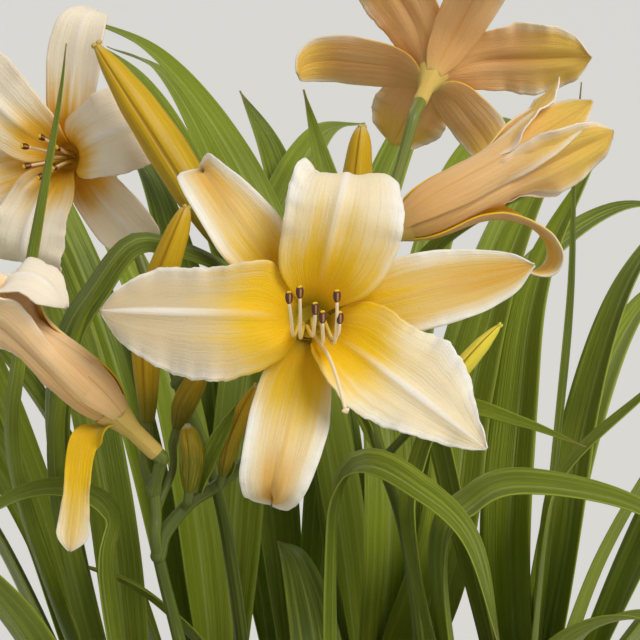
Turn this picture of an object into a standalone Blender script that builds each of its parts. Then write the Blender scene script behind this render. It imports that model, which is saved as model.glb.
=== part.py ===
"""A daylily plant in a clay pot: fans of strap leaves, scapes with open blooms and buds, soil and pot.

Lengths in this file are millimetres and angles are degrees. Each mesh is scaled to metres as it is made.
The origin is the middle of the pot's underside, +Z is up, and the front bloom faces -Y.
"""
import math
from dataclasses import dataclass

import bmesh
import bpy
import numpy as np
from mathutils import Matrix, Vector

MM = 0.001
GAP = 0.3
SLIVER = 0.003
WELD = 0.01
SHARP_ANGLE = 50.0

# Pot and soil
POT_HEIGHT = 200.0
POT_TOP_RADIUS = 116.0
POT_BASE_RADIUS = 86.0
POT_WALL = 7.0
POT_FLOOR = 9.0
RIM_HEIGHT = 38.0
RIM_PROUD = 6.0
DRAIN_RADIUS = 6.0
DRAIN_CIRCLE = 46.0
DRAINS = 5
TURN_STEPS = 24
HOLE_SIDES = 8
SOIL_TOP = 182.0
ROOT_DEPTH = 24.0

# Front bloom: where its throat is, and how far the view on it looks down
THROAT = np.array([-6.0, -105.0, 470.0])
VIEW_DOWN = 12.0
VIEW_DISTANCE = 700.0
VIEW_CENTRE = (2.6, -0.6)
FRAME_HALF_WIDTH = 112.0
FRAME_HALF_HEIGHT = 76.0
CLEAR_DEPTH = 102.0

# Leaves
BLADE_THICK = 0.8
LEAF_ROWS = 6
PLACED_ROWS = 7
LEAF_CROWDING = 0.75
LEAF_WIDTHS = (18.0, 26.0)
FOOT_FOLD = 62.0
OPEN_FOLD = 22.0
BRACT_FOLD = 35.0
FAN_SEED = 40
CROWN_RADIUS = 11.2
CROWN_TOP = 234.0
LEAF_FOOT = 204.0
CUBE = 3.0
TRIES = 60
SPACE_LOW = np.array([-360.0, -360.0, 100.0])
SPACE_SIZE = (240, 240, 230)

# Scapes and buds
STEM_RADIUS = 2.6
STEM_TAPER = 0.6
STEM_SIDES = 6
THREAD_SIDES = 4
BUD_SHAPE = ((0.0, 0.42), (0.1, 0.68), (0.28, 0.94), (0.5, 1.0), (0.72, 0.84), (0.9, 0.5), (1.0, 0.14))

# Stamens and pistils
FILAMENT_RADII = (0.8, 0.6)
ANTHER_RADII = (1.1, 0.8)
ANTHER_LENGTH = 5.0
STYLE_RADII = (0.75, 0.6)
STIGMA_RADIUS = 0.9
COLLAR_HEIGHT = 2.0
COLLAR_WALL = 0.9
COLLAR_DEPTH = 6.0

# Tepals. The lean tables give the angle from the bloom's axis at each station along a tepal
TEPAL_THICK = 0.8
ROOT_STEP = 0.4
RIB_RISE = 0.9
STATIONS = (0.0, 0.15, 0.3, 0.45, 0.6, 0.75, 0.9, 1.0)
FLAT = (15, 30, 60, 82, 84, 84, 83, 82)
SPREAD = (26, 48, 80, 84, 84, 82, 79, 76)
CURLED = (15, 25, 45, 62, 86, 146, 208, 225)
TUCKED = (26, 48, 78, 80, 80, 105, 168, 190)
FUNNEL = (30, 9, -1, -2, 2, 30, 90, 150)
HERO_TUBE = ((-38, 3.0), (-30, 3.4), (-20, 4.0), (-10, 5.4), (-4, 7.0))
SIDE_TUBE = ((-18, 2.5), (-8, 2.9), (-2, 4.4), (3, 6.6))
TUBE_WALL = 1.4

COLOURS = {
    "clay": ((0.56, 0.27, 0.15), 0.85),
    "soil": ((0.07, 0.045, 0.03), 0.95),
    "leaf": ((0.13, 0.25, 0.045), 0.5),
    "scape": ((0.17, 0.28, 0.07), 0.5),
    "petal": ((0.90, 0.76, 0.50), 0.55),
    "peach": ((0.86, 0.55, 0.28), 0.55),
    "stamen": ((0.92, 0.66, 0.36), 0.5),
    "pistil": ((0.93, 0.72, 0.46), 0.5),
    "bud": ((0.52, 0.44, 0.06), 0.5),
}


def clear_scene():
    for thing in list(bpy.data.objects):
        bpy.data.objects.remove(thing, do_unlink=True)


def new_collection(name):
    collection = bpy.data.collections.new(name)
    bpy.context.scene.collection.children.link(collection)
    return collection


def material(name):
    """The named finish, made once and shared."""
    if name in bpy.data.materials:
        return bpy.data.materials[name]
    colour, roughness = COLOURS[name]
    made = bpy.data.materials.new(name)
    made.use_nodes = True
    shader = made.node_tree.nodes["Principled BSDF"]
    shader.inputs["Base Color"].default_value = (*colour, 1.0)
    shader.inputs["Roughness"].default_value = roughness
    shader.inputs["Metallic"].default_value = 0.0
    made.diffuse_color = (*colour, 1.0)
    return made


def unit(vector):
    vector = np.asarray(vector, float)
    return vector / np.linalg.norm(vector)


def smooth(value):
    value = np.clip(value, 0, 1)
    return value * value * (3 - 2 * value)


RIGHT = np.array([1.0, 0.0, 0.0])
TOWARD = np.array([0.0, -math.cos(math.radians(VIEW_DOWN)), math.sin(math.radians(VIEW_DOWN))])
UP = np.cross(TOWARD, RIGHT)


def seen(right, up, toward=0.0):
    """A point given as someone facing the front bloom sees it, measured from its throat."""
    return THROAT + right * RIGHT + up * UP + toward * TOWARD


def bloom_frame(axis, up=(0, 0, 1)):
    """Rows are the bloom's own right, up and outward directions."""
    outward = unit(axis)
    right = unit(np.cross(up, outward))
    return np.array([right, np.cross(outward, right), outward])


# Shapes worked out as grids of points


@dataclass
class Tepal:
    """One petal or sepal. ccw and cw are its half widths on either side, at the stations."""
    turn: float
    length: float
    lean: tuple
    ccw: tuple
    cw: tuple
    sepal: bool = False
    cup: float = 0.0
    wave: float = 1.0
    waves: float = 3.6
    phase: float = 0.0
    fold_side: float = 0.0
    fold_at: float = 0.4
    fold_spread: float = 0.1
    fold_rise: float = 0.0
    under: float = 1.6
    closed_to: float = 0.44
    twist: float = 0.0


@dataclass
class Bloom:
    name: str
    throat: np.ndarray
    axis: np.ndarray
    tepals: list
    tube: tuple
    root: tuple
    rows: int
    columns: int
    colour: str
    stamen_reach: float = 1.0
    stamen_spread: float = 1.0


def station_curve(values, places):
    """A soft curve through values given at the stations."""
    fine = np.linspace(0, 1, 201)
    straight = np.interp(fine, STATIONS, values)
    window = np.hanning(29)
    padded = np.concatenate([np.full(14, straight[0]), straight, np.full(14, straight[-1])])
    soft = np.convolve(padded, window / window.sum(), mode="valid")
    ends = smooth(np.minimum(fine, 1 - fine) / 0.07)
    return np.interp(places, fine, soft * ends + straight * (1 - ends))


def tepal_grid(tepal, root, rows, columns):
    """Points of a tepal's middle surface in the bloom's frame: rows run along it, columns across it."""
    fine = np.linspace(0, 1, 200)
    lean = np.radians(station_curve(tepal.lean, fine))
    step = tepal.length / (len(fine) - 1)
    mid_sin = (np.sin(lean[1:]) + np.sin(lean[:-1])) / 2
    mid_cos = (np.cos(lean[1:]) + np.cos(lean[:-1])) / 2
    reach = root[0] + np.concatenate([[0], np.cumsum(mid_sin)]) * step
    height = root[1] + np.concatenate([[0], np.cumsum(mid_cos)]) * step

    along = np.linspace(0, 1, rows) ** 0.9
    r = np.interp(along, fine, reach)[:, None]
    z = np.interp(along, fine, height)[:, None]
    lean = np.interp(along, fine, lean)[:, None]
    u = along[:, None]
    v = np.linspace(-1, 1, columns)[None, :]
    rounding = np.sqrt(np.clip(1 - ((u - 0.93) / 0.07).clip(0) ** 2, 0, 1))
    half = np.where(v > 0, station_curve(tepal.ccw, u), station_curve(tepal.cw, u))
    half = np.maximum(half * rounding, 0.35)
    wrap = 1 - smooth((u - tepal.closed_to + 0.36) / 0.36)
    half = np.minimum(half, r * 0.9) * wrap + half * (1 - wrap)
    across = v * half
    turn = math.radians(tepal.turn) + wrap * across / r
    zero = np.zeros_like(turn)
    radial = np.stack([np.cos(turn), np.sin(turn), zero], -1)
    side = np.stack([-np.sin(turn), np.cos(turn), zero], -1)
    axial = np.stack([zero, zero, zero + 1], -1)
    lean = (lean + zero)[..., None]
    face = -np.cos(lean) * radial + np.sin(lean) * axial
    twist = np.radians(tepal.twist) * smooth((u - 0.15) / 0.35)[..., None]
    side, face = np.cos(twist) * side + np.sin(twist) * face, np.cos(twist) * face - np.sin(twist) * side

    opened = smooth((u - 0.15) / 0.3)
    lift = tepal.cup * half * v ** 2 * opened
    rib = np.exp(-(across / 1.8) ** 2) - 0.5 * np.exp(-((np.abs(across) - 4) / 2.5) ** 2)
    lift = lift + RIB_RISE * rib * opened * (1 - smooth((u - 0.85) / 0.15))
    beat = 2 * math.pi * tepal.waves * u + tepal.phase + np.where(v > 0, 1.7, 0)
    ripple = np.sin(beat) + 0.45 * np.sin(2.3 * beat + 1.1)
    lift = lift + tepal.wave * np.abs(v) ** 2.5 * ripple * smooth((u - 0.2) / 0.3)
    near_fold = np.exp(-((u - tepal.fold_at) / tepal.fold_spread) ** 2)
    lift = lift + tepal.fold_rise * np.clip(v * tepal.fold_side, 0, 1) ** 2 * near_fold
    if tepal.sepal:
        lift = lift - ROOT_STEP - (tepal.under - ROOT_STEP) * smooth(u / 0.18)
    else:
        lift = lift + ROOT_STEP * (1 - smooth(u / 0.18))
    flat_across = ((1 - wrap) * across)[..., None]
    return r[..., None] * radial + z[..., None] * axial + flat_across * side + lift[..., None] * face


def spline(points, count, crowding=1.0):
    """Points on a smooth curve through the given ones, closer together at its end for crowding below 1."""
    given = np.asarray(points, float)
    given = np.vstack([2 * given[0] - given[1], given, 2 * given[-1] - given[-2]])
    spans = len(given) - 3
    place = np.linspace(0, spans, 40 * spans)
    first = np.minimum(place.astype(int), spans - 1)
    t = (place - first)[:, None]
    a, b, c, d = given[first], given[first + 1], given[first + 2], given[first + 3]
    bend = (2 * a - 5 * b + 4 * c - d) * t ** 2 + (3 * b - 3 * c + d - a) * t ** 3
    curve = 0.5 * (2 * b + (c - a) * t + bend)
    gone = np.concatenate([[0], np.cumsum(np.linalg.norm(np.diff(curve, axis=0), axis=1))])
    wanted = np.linspace(0, 1, count) ** crowding * gone[-1]
    return np.stack([np.interp(wanted, gone, curve[:, k]) for k in range(3)], 1)


def leaf_grid(route, width, rows, heading, twist=0.0, open_fold=OPEN_FOLD, columns=3):
    """A strap leaf folded along its midrib, nearly shut at its foot and flatter towards its tip."""
    middle = spline(route, rows, LEAF_CROWDING)
    tangent = np.gradient(middle, axis=0)
    tangent /= np.linalg.norm(tangent, axis=1)[:, None]
    flat = np.array([-math.sin(heading), math.cos(heading), 0.0])
    side = flat - (tangent @ flat)[:, None] * tangent
    side /= np.linalg.norm(side, axis=1)[:, None]
    face = np.cross(tangent, side)
    u = np.linspace(0, 1, rows) ** LEAF_CROWDING
    turn = np.radians(twist) * smooth((u - 0.1) / 0.9)
    side, face = (np.cos(turn)[:, None] * side + np.sin(turn)[:, None] * face,
                  np.cos(turn)[:, None] * face - np.sin(turn)[:, None] * side)
    pointed = 1 - np.clip((u - 0.45) / 0.55, 0, 1) ** 2.4
    half = 0.5 * width * np.maximum((0.5 + 0.5 * smooth(u / 0.35)) * pointed, 0.05)
    fold = np.radians(FOOT_FOLD + (open_fold - FOOT_FOLD) * smooth(u / 0.4))
    v = np.linspace(-1, 1, columns)
    out = (np.cos(fold) * half)[:, None] * v
    rise = (np.sin(fold) * half)[:, None] * np.abs(v)
    return middle[:, None] + out[..., None] * side[:, None] + rise[..., None] * face[:, None]


def arching_route(foot, heading, length, lean, droop, drift):
    """A leaf that rises from its foot, leans out along its heading and arches over."""
    s = np.linspace(0, 1, 24)
    angle = np.radians(lean + (droop - lean) * s ** 2.4)
    way = heading + math.radians(drift) * s ** 1.5
    step = length / (len(s) - 1)
    out = np.sin(angle) * step
    moves = np.stack([out * np.cos(way), out * np.sin(way), np.cos(angle) * step], 1)
    return (np.asarray(foot) + np.vstack([[0, 0, 0], np.cumsum(moves[:-1], axis=0)]))[::3]


# Space held by the pieces, so that no two of them meet


class Space:
    """Small cubes of space, each held by the piece that fills it first."""

    def __init__(self):
        self.owner = np.zeros(SPACE_SIZE, np.int16)
        self.crowded = np.zeros(SPACE_SIZE, bool)

    def cubes(self, points):
        index = ((points.reshape(-1, 3) - SPACE_LOW) / CUBE).astype(int)
        return np.clip(index, 1, np.array(SPACE_SIZE) - 2).T

    def is_free(self, points, owner, own_points):
        held = self.owner[tuple(self.cubes(points))]
        if np.any((held != 0) & (held != owner)):
            return False
        return not np.any(self.crowded[tuple(self.cubes(own_points))])

    def hold(self, points, owner, own_points=None):
        x, y, z = self.cubes(points)
        for i in (-1, 0, 1):
            for j in (-1, 0, 1):
                for k in (-1, 0, 1):
                    here = (x + i, y + j, z + k)
                    self.owner[here] = np.where(self.owner[here] == 0, owner, self.owner[here])
        if own_points is not None:
            self.crowded[tuple(self.cubes(own_points))] = True


def filled(grid, times=12):
    """Extra points between a grid's own, close enough to leave no cube out."""
    rows, columns = grid.shape[:2]
    down = np.linspace(0, rows - 1, (rows - 1) * times + 1)
    over = np.linspace(0, columns - 1, (columns - 1) * 6 + 1)
    i = np.minimum(down.astype(int), rows - 2)
    j = np.minimum(over.astype(int), columns - 2)
    a = (down - i)[:, None, None]
    b = (over - j)[None, :, None]
    near = grid[i][:, j] * (1 - b) + grid[i][:, j + 1] * b
    far = grid[i + 1][:, j] * (1 - b) + grid[i + 1][:, j + 1] * b
    return near * (1 - a) + far * a


def hides_blooms(points):
    """Whether a leaf crosses the view on the blooms, nearer than the foliage behind them."""
    offset = points.reshape(-1, 3) - THROAT
    toward = offset @ TOWARD
    scale = VIEW_DISTANCE / (VIEW_DISTANCE - np.minimum(toward, 400))
    across = np.abs(offset @ RIGHT - VIEW_CENTRE[0]) * scale
    above = np.abs(offset @ UP - VIEW_CENTRE[1]) * scale
    in_frame = (across < FRAME_HALF_WIDTH) & (above < FRAME_HALF_HEIGHT)
    return bool(np.any((toward > -CLEAR_DEPTH) & in_frame))


# Blender objects


def mesh_object(name, mesh, collection, finish):
    made = bpy.data.objects.new(name, mesh)
    collection.objects.link(made)
    made.data.materials.clear()
    made.data.materials.append(material(finish))
    return made


def settle(thing):
    """Turn an object with modifiers, or a curve, into a plain mesh object in the same place."""
    bpy.context.view_layer.update()
    graph = bpy.context.evaluated_depsgraph_get()
    mesh = bpy.data.meshes.new_from_object(thing.evaluated_get(graph))
    mesh.transform(thing.matrix_world)
    weld = bmesh.new()
    weld.from_mesh(mesh)
    bmesh.ops.remove_doubles(weld, verts=weld.verts, dist=WELD * MM)
    weld.to_mesh(mesh)
    weld.free()
    plain = bpy.data.objects.new(thing.name + "_plain", mesh)
    for collection in thing.users_collection:
        collection.objects.link(plain)
    bpy.data.objects.remove(thing, do_unlink=True)
    return plain


def sheet(name, grid, thick, collection, finish):
    """A thin closed blade: an open surface in triangles, given its thickness by Solidify."""
    rows, columns = grid.shape[:2]
    mesh = bpy.data.meshes.new(name)
    faces = [(i * columns + j, i * columns + j + 1, (i + 1) * columns + j + 1, (i + 1) * columns + j)
             for i in range(rows - 1) for j in range(columns - 1)]
    mesh.from_pydata((grid.reshape(-1, 3) * MM).tolist(), [], faces)
    cut = bmesh.new()
    cut.from_mesh(mesh)
    bmesh.ops.triangulate(cut, faces=cut.faces)
    cut.to_mesh(mesh)
    cut.free()
    blade = mesh_object(name, mesh, collection, finish)
    solid = blade.modifiers.new("Thickness", "SOLIDIFY")
    solid.thickness = thick * MM
    solid.offset = 0.0
    return settle(blade)


def tube(name, points, radii, collection, finish, sides=STEM_SIDES):
    """A round stem, bud or thread along points, with a radius at each."""
    curve = bpy.data.curves.new(name, "CURVE")
    curve.dimensions = "3D"
    curve.bevel_depth = MM
    curve.bevel_resolution = (sides - 4) // 2
    curve.use_fill_caps = True
    line = curve.splines.new("POLY")
    line.points.add(len(points) - 1)
    for spot, point, radius in zip(line.points, points, radii):
        spot.co = (*(np.asarray(point) * MM), 1.0)
        spot.radius = radius
    stem = bpy.data.objects.new(name, curve)
    collection.objects.link(stem)
    plain = settle(stem)
    plain.data.materials.clear()
    plain.data.materials.append(material(finish))
    return plain


def turned(name, profile, collection, finish, steps=TURN_STEPS):
    """A profile of (radius, height) turned about Z."""
    mesh = bpy.data.meshes.new(name)
    corners = [(radius * MM, 0.0, height * MM) for radius, height in profile]
    mesh.from_pydata(corners, [(i, i + 1) for i in range(len(corners) - 1)], [])
    piece = mesh_object(name, mesh, collection, finish)
    screw = piece.modifiers.new("Turn", "SCREW")
    screw.steps = steps
    screw.render_steps = steps
    screw.use_merge_vertices = True
    screw.merge_threshold = WELD * MM
    screw.use_normal_calculate = False
    return settle(piece)


def cone_mesh(name, x, y, low, high, low_radius, high_radius):
    """A round post standing on (x, y), whose flats touch the radii."""
    wide = MM / math.cos(math.pi / HOLE_SIDES)
    post = bmesh.new()
    bmesh.ops.create_cone(post, cap_ends=True, segments=HOLE_SIDES, radius1=low_radius * wide,
                          radius2=high_radius * wide, depth=(high - low) * MM)
    bmesh.ops.translate(post, verts=post.verts, vec=(x * MM, y * MM, (low + high) / 2 * MM))
    mesh = bpy.data.meshes.new(name)
    post.to_mesh(mesh)
    post.free()
    return mesh


def rod_cutter(name, x, y, low, high, radius, collection):
    cutter = bpy.data.objects.new(name, cone_mesh(name, x, y, low, high, radius, radius))
    cutter.hide_render = True
    cutter.display_type = "WIRE"
    collection.objects.link(cutter)


def connected_shells(body):
    """Sets of faces that hang together edge by edge."""
    left = set(body.faces)
    shells = []
    while left:
        front = [left.pop()]
        shell = set(front)
        while front:
            face = front.pop()
            for edge in face.edges:
                for other in edge.link_faces:
                    if other in left:
                        left.discard(other)
                        shell.add(other)
                        front.append(other)
        shells.append(shell)
    return sorted(shells, key=len)


def clean_body(mesh):
    """Close the slivers that a union leaves, and drop any bubble between two blades."""
    body = bmesh.new()
    body.from_mesh(mesh)
    bmesh.ops.triangulate(body, faces=body.faces)
    bmesh.ops.remove_doubles(body, verts=body.verts, dist=SLIVER * MM)
    bmesh.ops.dissolve_degenerate(body, dist=SLIVER * MM, edges=body.edges)
    bmesh.ops.triangulate(body, faces=body.faces)
    seen_faces = {}
    for face in body.faces:
        seen_faces.setdefault(frozenset(face.verts), []).append(face)
    doubled = [face for faces in seen_faces.values() if len(faces) > 1 for face in faces]
    bmesh.ops.delete(body, geom=doubled, context="FACES")
    for shell in connected_shells(body)[:-1]:
        bmesh.ops.delete(body, geom=list(shell), context="FACES")
    loose = [vertex for vertex in body.verts if not vertex.link_faces]
    bmesh.ops.delete(body, geom=loose, context="VERTS")
    body.to_mesh(mesh)
    body.free()


def named(thing, name, collection, finish):
    """Give a finished body its node's name, collection, material and shading."""
    thing.name = name
    thing.data.name = name
    for old in thing.users_collection:
        old.objects.unlink(thing)
    collection.objects.link(thing)
    thing.data.materials.clear()
    thing.data.materials.append(material(finish))
    thing.data.shade_smooth()
    thing.data.set_sharp_from_angle(angle=math.radians(SHARP_ANGLE))


def empty_collection(collection):
    for thing in list(collection.objects):
        bpy.data.objects.remove(thing, do_unlink=True)
    bpy.data.collections.remove(collection)


def joined(name, pieces, collection, finish):
    """One closed body from overlapping pieces. EXACT leaves slivers where blades and stems cross."""
    helpers = bpy.data.collections.new(name + "_pieces")
    bpy.context.scene.collection.children.link(helpers)
    first = pieces[0]
    for piece in pieces[1:]:
        for old in piece.users_collection:
            old.objects.unlink(piece)
        helpers.objects.link(piece)
    union = first.modifiers.new("Join", "BOOLEAN")
    union.operation = "UNION"
    union.operand_type = "COLLECTION"
    union.collection = helpers
    union.solver = "MANIFOLD"
    whole = settle(first)
    empty_collection(helpers)
    clean_body(whole.data)
    named(whole, name, collection, finish)


def cut(name, thing, cutters, collection, finish):
    """The body left when the cutters are taken from a solid."""
    difference = thing.modifiers.new("Cut", "BOOLEAN")
    difference.operation = "DIFFERENCE"
    difference.operand_type = "COLLECTION"
    difference.collection = cutters
    difference.solver = "EXACT"
    whole = settle(thing)
    empty_collection(cutters)
    named(whole, name, collection, finish)


# Pot and soil


def inner_radius(height):
    """Radius of the pot's inside at a height above its underside."""
    slope = (POT_TOP_RADIUS - POT_BASE_RADIUS) / POT_HEIGHT
    return POT_BASE_RADIUS - POT_WALL + slope * height


def pot(collection):
    band = POT_HEIGHT - RIM_HEIGHT
    outside = POT_BASE_RADIUS + (POT_TOP_RADIUS - POT_BASE_RADIUS) * band / POT_HEIGHT
    profile = [
        (0, POT_FLOOR), (inner_radius(POT_FLOOR) - 4, POT_FLOOR),
        (inner_radius(POT_FLOOR + 4), POT_FLOOR + 4), (inner_radius(POT_HEIGHT - 2), POT_HEIGHT - 2),
        (inner_radius(POT_HEIGHT) + 2, POT_HEIGHT),
        (POT_TOP_RADIUS + RIM_PROUD - 2, POT_HEIGHT), (POT_TOP_RADIUS + RIM_PROUD, POT_HEIGHT - 2),
        (outside + RIM_PROUD, band + 1.5), (outside + RIM_PROUD - 1.5, band), (outside, band - 1),
        (POT_BASE_RADIUS + 1, 3), (POT_BASE_RADIUS - 2, 0), (0, 0),
    ]
    shell = turned("pot_shell", profile, collection, "clay")
    drains = new_collection("drain_cutters")
    for k in range(DRAINS):
        angle = math.radians(90 + 360 / DRAINS * k)
        rod_cutter(f"drain_{k}", DRAIN_CIRCLE * math.cos(angle), DRAIN_CIRCLE * math.sin(angle),
                   -POT_FLOOR, 2 * POT_FLOOR, DRAIN_RADIUS, drains)
    cut("pot", shell, drains, collection, "clay")


def soil(collection):
    """Soil that fills the pot, with a plain hole for each fan and scape."""
    low = POT_FLOOR + GAP
    profile = [
        (0, SOIL_TOP), (inner_radius(SOIL_TOP) - GAP - 4, SOIL_TOP),
        (inner_radius(SOIL_TOP - 3) - GAP, SOIL_TOP - 3),
        (inner_radius(low + 5) - GAP, low + 5), (inner_radius(low) - GAP - 5, low), (0, low),
    ]
    body = turned("soil_body", profile, collection, "soil")
    feet = [(fan[0], fan[1], CROWN_RADIUS / math.cos(math.pi / HOLE_SIDES)) for fan in FANS]
    feet += [(plan["stem"][0][0], plan["stem"][0][1], STEM_RADIUS + STEM_TAPER) for plan in SCAPES.values()]
    holes = new_collection("hole_cutters")
    low = SOIL_TOP - ROOT_DEPTH - GAP
    for k, (x, y, radius) in enumerate(feet):
        rod_cutter(f"hole_{k}", x, y, low, SOIL_TOP + ROOT_DEPTH, radius + GAP, holes)
    cut("soil", body, holes, collection, "soil")


# The front bloom, tepal by tepal, from its view
HERO = Bloom(
    name="hero", throat=THROAT, axis=TOWARD + 0.10 * UP + 0.02 * RIGHT, tube=HERO_TUBE, root=(4.6, -10.0),
    rows=10, columns=5, colour="petal",
    tepals=[
        Tepal(180, 74, FLAT, ccw=(4, 12, 17.5, 22, 21.5, 17.8, 11, 2.5),
              cw=(4, 12, 18.5, 15, 14, 14.5, 8.8, 2), wave=1.2, phase=0.6,
              fold_side=-1, fold_at=0.4, fold_rise=6),
        Tepal(76, 83, CURLED, ccw=(4, 10, 15, 16, 17, 16, 10, 2), cw=(4, 12, 19, 22, 22, 19, 11, 2),
              cup=-0.05, wave=0.8, phase=2.0),
        Tepal(-39, 78.5, FLAT, ccw=(4, 12, 16.8, 16.5, 20.2, 16, 6, 1.5),
              cw=(4, 9, 12.5, 17, 14.6, 10.3, 5.3, 1.5), wave=1.3, phase=4.0,
              fold_side=-1, fold_at=0.33, fold_spread=0.13, fold_rise=9),
        Tepal(12.5, 74.5, SPREAD, ccw=(3, 6, 11, 12.7, 12.2, 9.8, 6.2, 1),
              cw=(3, 6, 11, 12.5, 12.2, 11, 7.5, 1), sepal=True, cup=0.15, wave=0.4, waves=2),
        Tepal(125.5, 78, TUCKED, ccw=(3, 6, 10.5, 13, 12.2, 11.5, 9, 3),
              cw=(3, 6, 10.5, 13, 12.2, 11.5, 9, 3), sepal=True, cup=0.12, wave=0.4, waves=2),
        Tepal(257.5, 78, TUCKED, ccw=(3, 6.5, 11, 13, 12, 10.3, 7, 3),
              cw=(3, 6.5, 12, 13.2, 12.8, 12.2, 9, 3), sepal=True, cup=-0.05, wave=0.4, waves=2),
    ])


def open_tepals(start, length):
    """Three broad petals and three narrow sepals around a bloom."""
    broad = (4, 9, 12, 14, 16, 15, 10, 2)
    narrow = (3, 7, 9.5, 10.5, 11, 10, 7, 1.5)
    petals = [Tepal(start + 120 * k, length, FLAT, broad, broad, wave=0.9, phase=1.3 * k)
              for k in range(3)]
    sepals = [Tepal(start + 60 + 120 * k, length + 2, TUCKED, narrow, narrow, sepal=True, wave=0.4,
                    waves=2, cup=0.1) for k in range(3)]
    return petals + sepals


def side_bloom(name, throat, axis, tepals, rows, stamen_reach, stamen_spread=1.0):
    return Bloom(name=name, throat=throat, axis=axis, tube=SIDE_TUBE, root=(4.2, -1.0), rows=rows,
                 columns=3, colour="peach", tepals=tepals, stamen_reach=stamen_reach,
                 stamen_spread=stamen_spread)


def funnel_tepals(petals, sepals):
    """A long closed funnel that opens at its mouth, from the turn, leans and length of each tepal."""
    broad = (4, 8, 9.5, 10.5, 12, 13, 10, 2.5)
    narrow = (3, 6, 8, 9, 9.5, 9.5, 7, 1.5)
    return ([Tepal(turn, length, lean, broad, broad, wave=0.9, phase=turn, closed_to=0.74)
             for turn, lean, length in petals]
            + [Tepal(turn, length, lean, narrow, narrow, sepal=True, cup=0.14, wave=0.4, waves=2,
                     under=2.6, closed_to=0.74) for turn, lean, length in sepals])


# The bloom at the left: one petal curls right over, and one sepal hangs down from the throat, face on
LEFT_TEPALS = funnel_tepals(
    petals=((90, (30, 9, -1, -2, 2, 34, 120, 215), 84), (210, FUNNEL, 76), (330, FUNNEL, 76)),
    sepals=((30, (30, 9, -1, -2, 2, 8, 16, 24), 72), (150, (30, 9, -1, -2, 8, 60, 140, 190), 80)))
LEFT_TEPALS.append(
    Tepal(288, 47, (40, 90, 124, 130, 130, 128, 126, 124), ccw=(3, 6, 7, 7.5, 8, 8, 6, 1.5),
          cw=(3, 6, 7, 7.5, 8, 8, 6, 1.5), sepal=True, cup=0.12, wave=0.4, waves=2, closed_to=0.36,
          twist=-78))
# The bloom at the right: long and nearly straight, with one sepal curled under
RIGHT_TEPALS = funnel_tepals(
    petals=((200, (30, 9, 0, 0, 3, 6, 4, -8), 84), (80, (30, 9, 0, 0, 4, 14, 26, 34), 80),
            (320, (30, 9, 0, 0, 6, 24, 44, 60), 78)),
    sepals=((270, (30, 9, 6, 32, 56, 90, 200, 240), 84), (140, (30, 9, 0, 0, 2, 6, 10, 14), 82),
            (20, (30, 9, 0, 0, 6, 14, 20, 24), 80)))


def view_axis(right, up, toward):
    return unit(right * RIGHT + up * UP + toward * TOWARD)


BLOOMS = [
    HERO,
    side_bloom("left", seen(-64.7, -31.7, -14), view_axis(-0.70, 0.70, 0.16), LEFT_TEPALS, 8,
               stamen_reach=0.8, stamen_spread=0.6),
    side_bloom("high_left", seen(-90, 60, -108), view_axis(-0.34, -0.06, 0.93), open_tepals(20, 66), 7,
               stamen_reach=0.55),
    side_bloom("high_right", seen(30.5, 32.0, -64), view_axis(0.87, 0.48, -0.10), RIGHT_TEPALS, 8,
               stamen_reach=0.8, stamen_spread=0.6),
    side_bloom("rear", seen(46, 94, -150), view_axis(0.25, 0.55, -0.80), open_tepals(60, 66), 6,
               stamen_reach=0.9),
]

# Buds: foot, middle and tip of each, and its greatest radius
BUDS = {
    "bud_small": ([seen(-41.4, -58.4, -26), seen(-40.4, -46, -24), seen(-41.9, -35.7, -23)], 4.1),
    "bud_green": ([seen(-46.2, -37.9, -37), seen(-43.4, -28.5, -38), seen(-37.2, -17, -38)], 3.9),
    "bud_bronze": ([seen(-30.5, -53.7, -31), seen(-26.6, -38.6, -28), seen(-18.9, -22.1, -27)], 3.3),
    "bud_long": ([seen(-56.6, -36, -42), seen(-56.2, 0, -47), seen(-43.4, 38.8, -46)], 5.0),
    "bud_great": ([seen(-29, 23, -58), seen(-53, 62, -58), seen(-76, 96, -56)], 7.4),
    "bud_crown": ([seen(12, 9, -82), seen(15, 41, -83), seen(17.7, 69.7, -81)], 5.2),
    "bud_slim": ([seen(43, -28, -48), seen(54, -14, -44), seen(64.6, -2, -42)], 3.2),
}

def bud_axis(name):
    points = spline(BUDS[name][0], 9)
    return points[0], unit(points[1] - points[0])


def bloom_foot(name):
    bloom = next(one for one in BLOOMS if one.name == name)
    axis = unit(bloom.axis)
    return bloom.throat + bloom.tube[0][0] * axis, axis


def seat(end, back=12.0):
    """The last two points of a stalk that carries something: it stops a gap short of its foot."""
    foot, axis = end
    return [foot - (GAP + back) * axis, foot - GAP * axis]


def stem_foot(x, y):
    """A scape stands straight in its hole in the soil."""
    return [np.array([x, y, SOIL_TOP - ROOT_DEPTH]), np.array([x, y, SOIL_TOP + 4.0])]


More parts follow.
